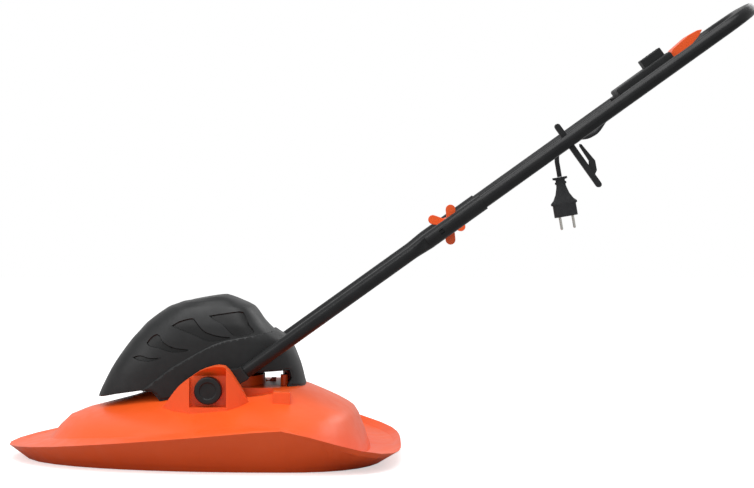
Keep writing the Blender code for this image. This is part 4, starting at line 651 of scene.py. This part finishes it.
def line_distance(line, x, z):
    """How far (x, z) lies from a line of points."""
    nearest = math.inf
    for (x0, z0), (x1, z1) in zip(line, line[1:]):
        run, rise = x1 - x0, z1 - z0
        share = min(max(((x - x0) * run + (z - z0) * rise) / (run**2 + rise**2), 0), 1)
        nearest = min(nearest, math.hypot(x - x0 - share * run, z - z0 - share * rise))
    return nearest


def raise_band(bm, faces, line):
    """Lifts the faces off the skin, with an upright step along the line and a chamfer over it."""
    bm.normal_update()
    lifted = {}
    for vert in dict.fromkeys(vert for face in faces for vert in face.verts):
        share = min(line_distance(line, vert.co.x, vert.co.z) / math.hypot(*CHAMFER_SHIFT), 1)
        lifted[tuple(vert.co)] = vert.co + vert.normal * (BAND_STEP + BAND_CHAMFER * share)
    made = bmesh.ops.extrude_face_region(bm, geom=faces)["geom"]
    verts = {item for item in made if isinstance(item, bmesh.types.BMVert)}
    for vert in verts:
        vert.co = lifted[tuple(vert.co)]
    walls = [
        face for face in bm.faces
        if any(edge.is_boundary for edge in face.edges)
        and any(vert in verts for vert in face.verts)
        and not all(vert in verts for vert in face.verts)
    ]
    bmesh.ops.delete(bm, geom=walls, context="FACES")


def cover_skin(columns):
    """The cover's outer skin: both halves and the strip along the middle of the top."""
    bm = bmesh.new()
    right = [[bm.verts.new(p) for p in column] for column in columns]
    left = [[bm.verts.new((p.x, -p.y, p.z)) for p in column] for column in columns]
    left[0], left[-1] = right[0], right[-1]
    for side, turn in ((right, 1), (left, -1)):
        for one, two in zip(side, side[1:]):
            for i in range(COVER_ROWS):
                corners = (one[i], two[i], two[i + 1], one[i + 1])
                bm.faces.new(corners if turn > 0 else corners[::-1])
    for j in range(len(columns) - 1):
        corners = (right[j][-1], right[j + 1][-1], left[j + 1][-1], left[j][-1])
        corners = list(dict.fromkeys(corners))
        if len(corners) > 2:
            bm.faces.new(corners)
    bmesh.ops.remove_doubles(bm, verts=bm.verts, dist=COVER_WELD)
    return bm


def make_cover():
    """The motor cover, with its raised band and its leaf-shaped recesses, whose floors carry
    painted shade.
    """
    bm = cover_skin(cover_grid())
    slice_along(bm, COVER_EDGE)
    bmesh.ops.delete(bm, geom=faces_within(bm, COVER_EDGE), context="FACES")
    top = smooth_outline(BAND_TOP, BAND_CURVE_STEP, closed=False)
    slice_along(bm, top, closed=False)
    slice_along(bm, [(x + CHAMFER_SHIFT[0], z + CHAMFER_SHIFT[1]) for x, z in top], closed=False)
    for points in LEAVES:
        leaf = smooth_outline(points, LEAF_CURVE_STEP)
        slice_along(bm, leaf)
        bmesh.ops.inset_region(
            bm, faces=faces_within(bm, leaf), thickness=LEAF_SLOPE, depth=-LEAF_DEPTH,
            use_boundary=True, use_even_offset=False,
        )
        # the leaf floors take the second, darkened finish: painted shade in the recesses
        for face in faces_within(bm, leaf):
            face.material_index = 1
    raise_band(bm, faces_within(bm, [*top, *BAND_BELOW]), top)
    bmesh.ops.remove_doubles(bm, verts=bm.verts, dist=COVER_WELD)
    for vert in bm.verts:
        vert.co = Vector(((vert.co.x + HOOD_CENTRE_X) * MM, vert.co.y * MM, vert.co.z * MM))
    cover = stand_in(bm, "motor_cover", "skin")
    # second slot: the darkened black plastic that paints shade on the leaf floors
    cover.data.materials.append(FINISHES["recess_shade"])
    wall = cover.modifiers.new("wall", "SOLIDIFY")
    wall.thickness = COVER_WALL * MM
    wall.offset = -1
    return cover


# Mains cord


CORD_ROUTE = (
    # millimetres in the part's frame, from the strain relief to the plug
    (337.31, -42, 508.19), (335.1, -42, 505.5), (332.68, -42, 502.94), (326.64, -43.5, 493.64),
    (322.6, -44.6, 488.8), (317.99, -46, 485.11), (307.48, -50, 480.04),
    (295.8, -56.83, 478.64), (284.25, -61.67, 478.15), (273.69, -66.5, 473.44),
    (265.62, -66.5, 465.16), (261.16, -66.5, 454.49), (260.95, -66.5, 442.93),
    (261.9, -66.5, 437.3), (262.91, -66.5, 431.6), (264.87, -66.5, 420.26),
)


def make_cord():
    """The cord's sheath, its path and its length."""
    path = smooth_path([Vector(point) * MM for point in CORD_ROUTE], CORD_STEP)
    curve = bpy.data.curves.new("mains_cord", "CURVE")
    curve.dimensions = "3D"
    curve.bevel_depth = CORD_DIAMETER / 2
    curve.bevel_resolution = CORD_ROUNDNESS
    curve.use_fill_caps = True
    spline = curve.splines.new("POLY")
    spline.points.add(len(path) - 1)
    for point, at in zip(spline.points, path):
        point.co = (*at, 1)
    cord = bpy.data.objects.new("cord_sheath", curve)
    bpy.context.scene.collection.objects.link(cord)
    curve.materials.append(FINISHES["rubber"])
    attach(cord, "handle")
    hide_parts("mains_cord")
    length = sum((b - a).length for a, b in zip(path, path[1:]))
    return cord, path, length


make_camera()
make_studio()
make_floor()
cord, cord_path, cord_length = make_cord()
pieces = {
    node: dressed(node) for node in frame["nodes"] if node not in ("mains_cord", "motor_cover")
}
pieces["motor_cover"] = make_cover()
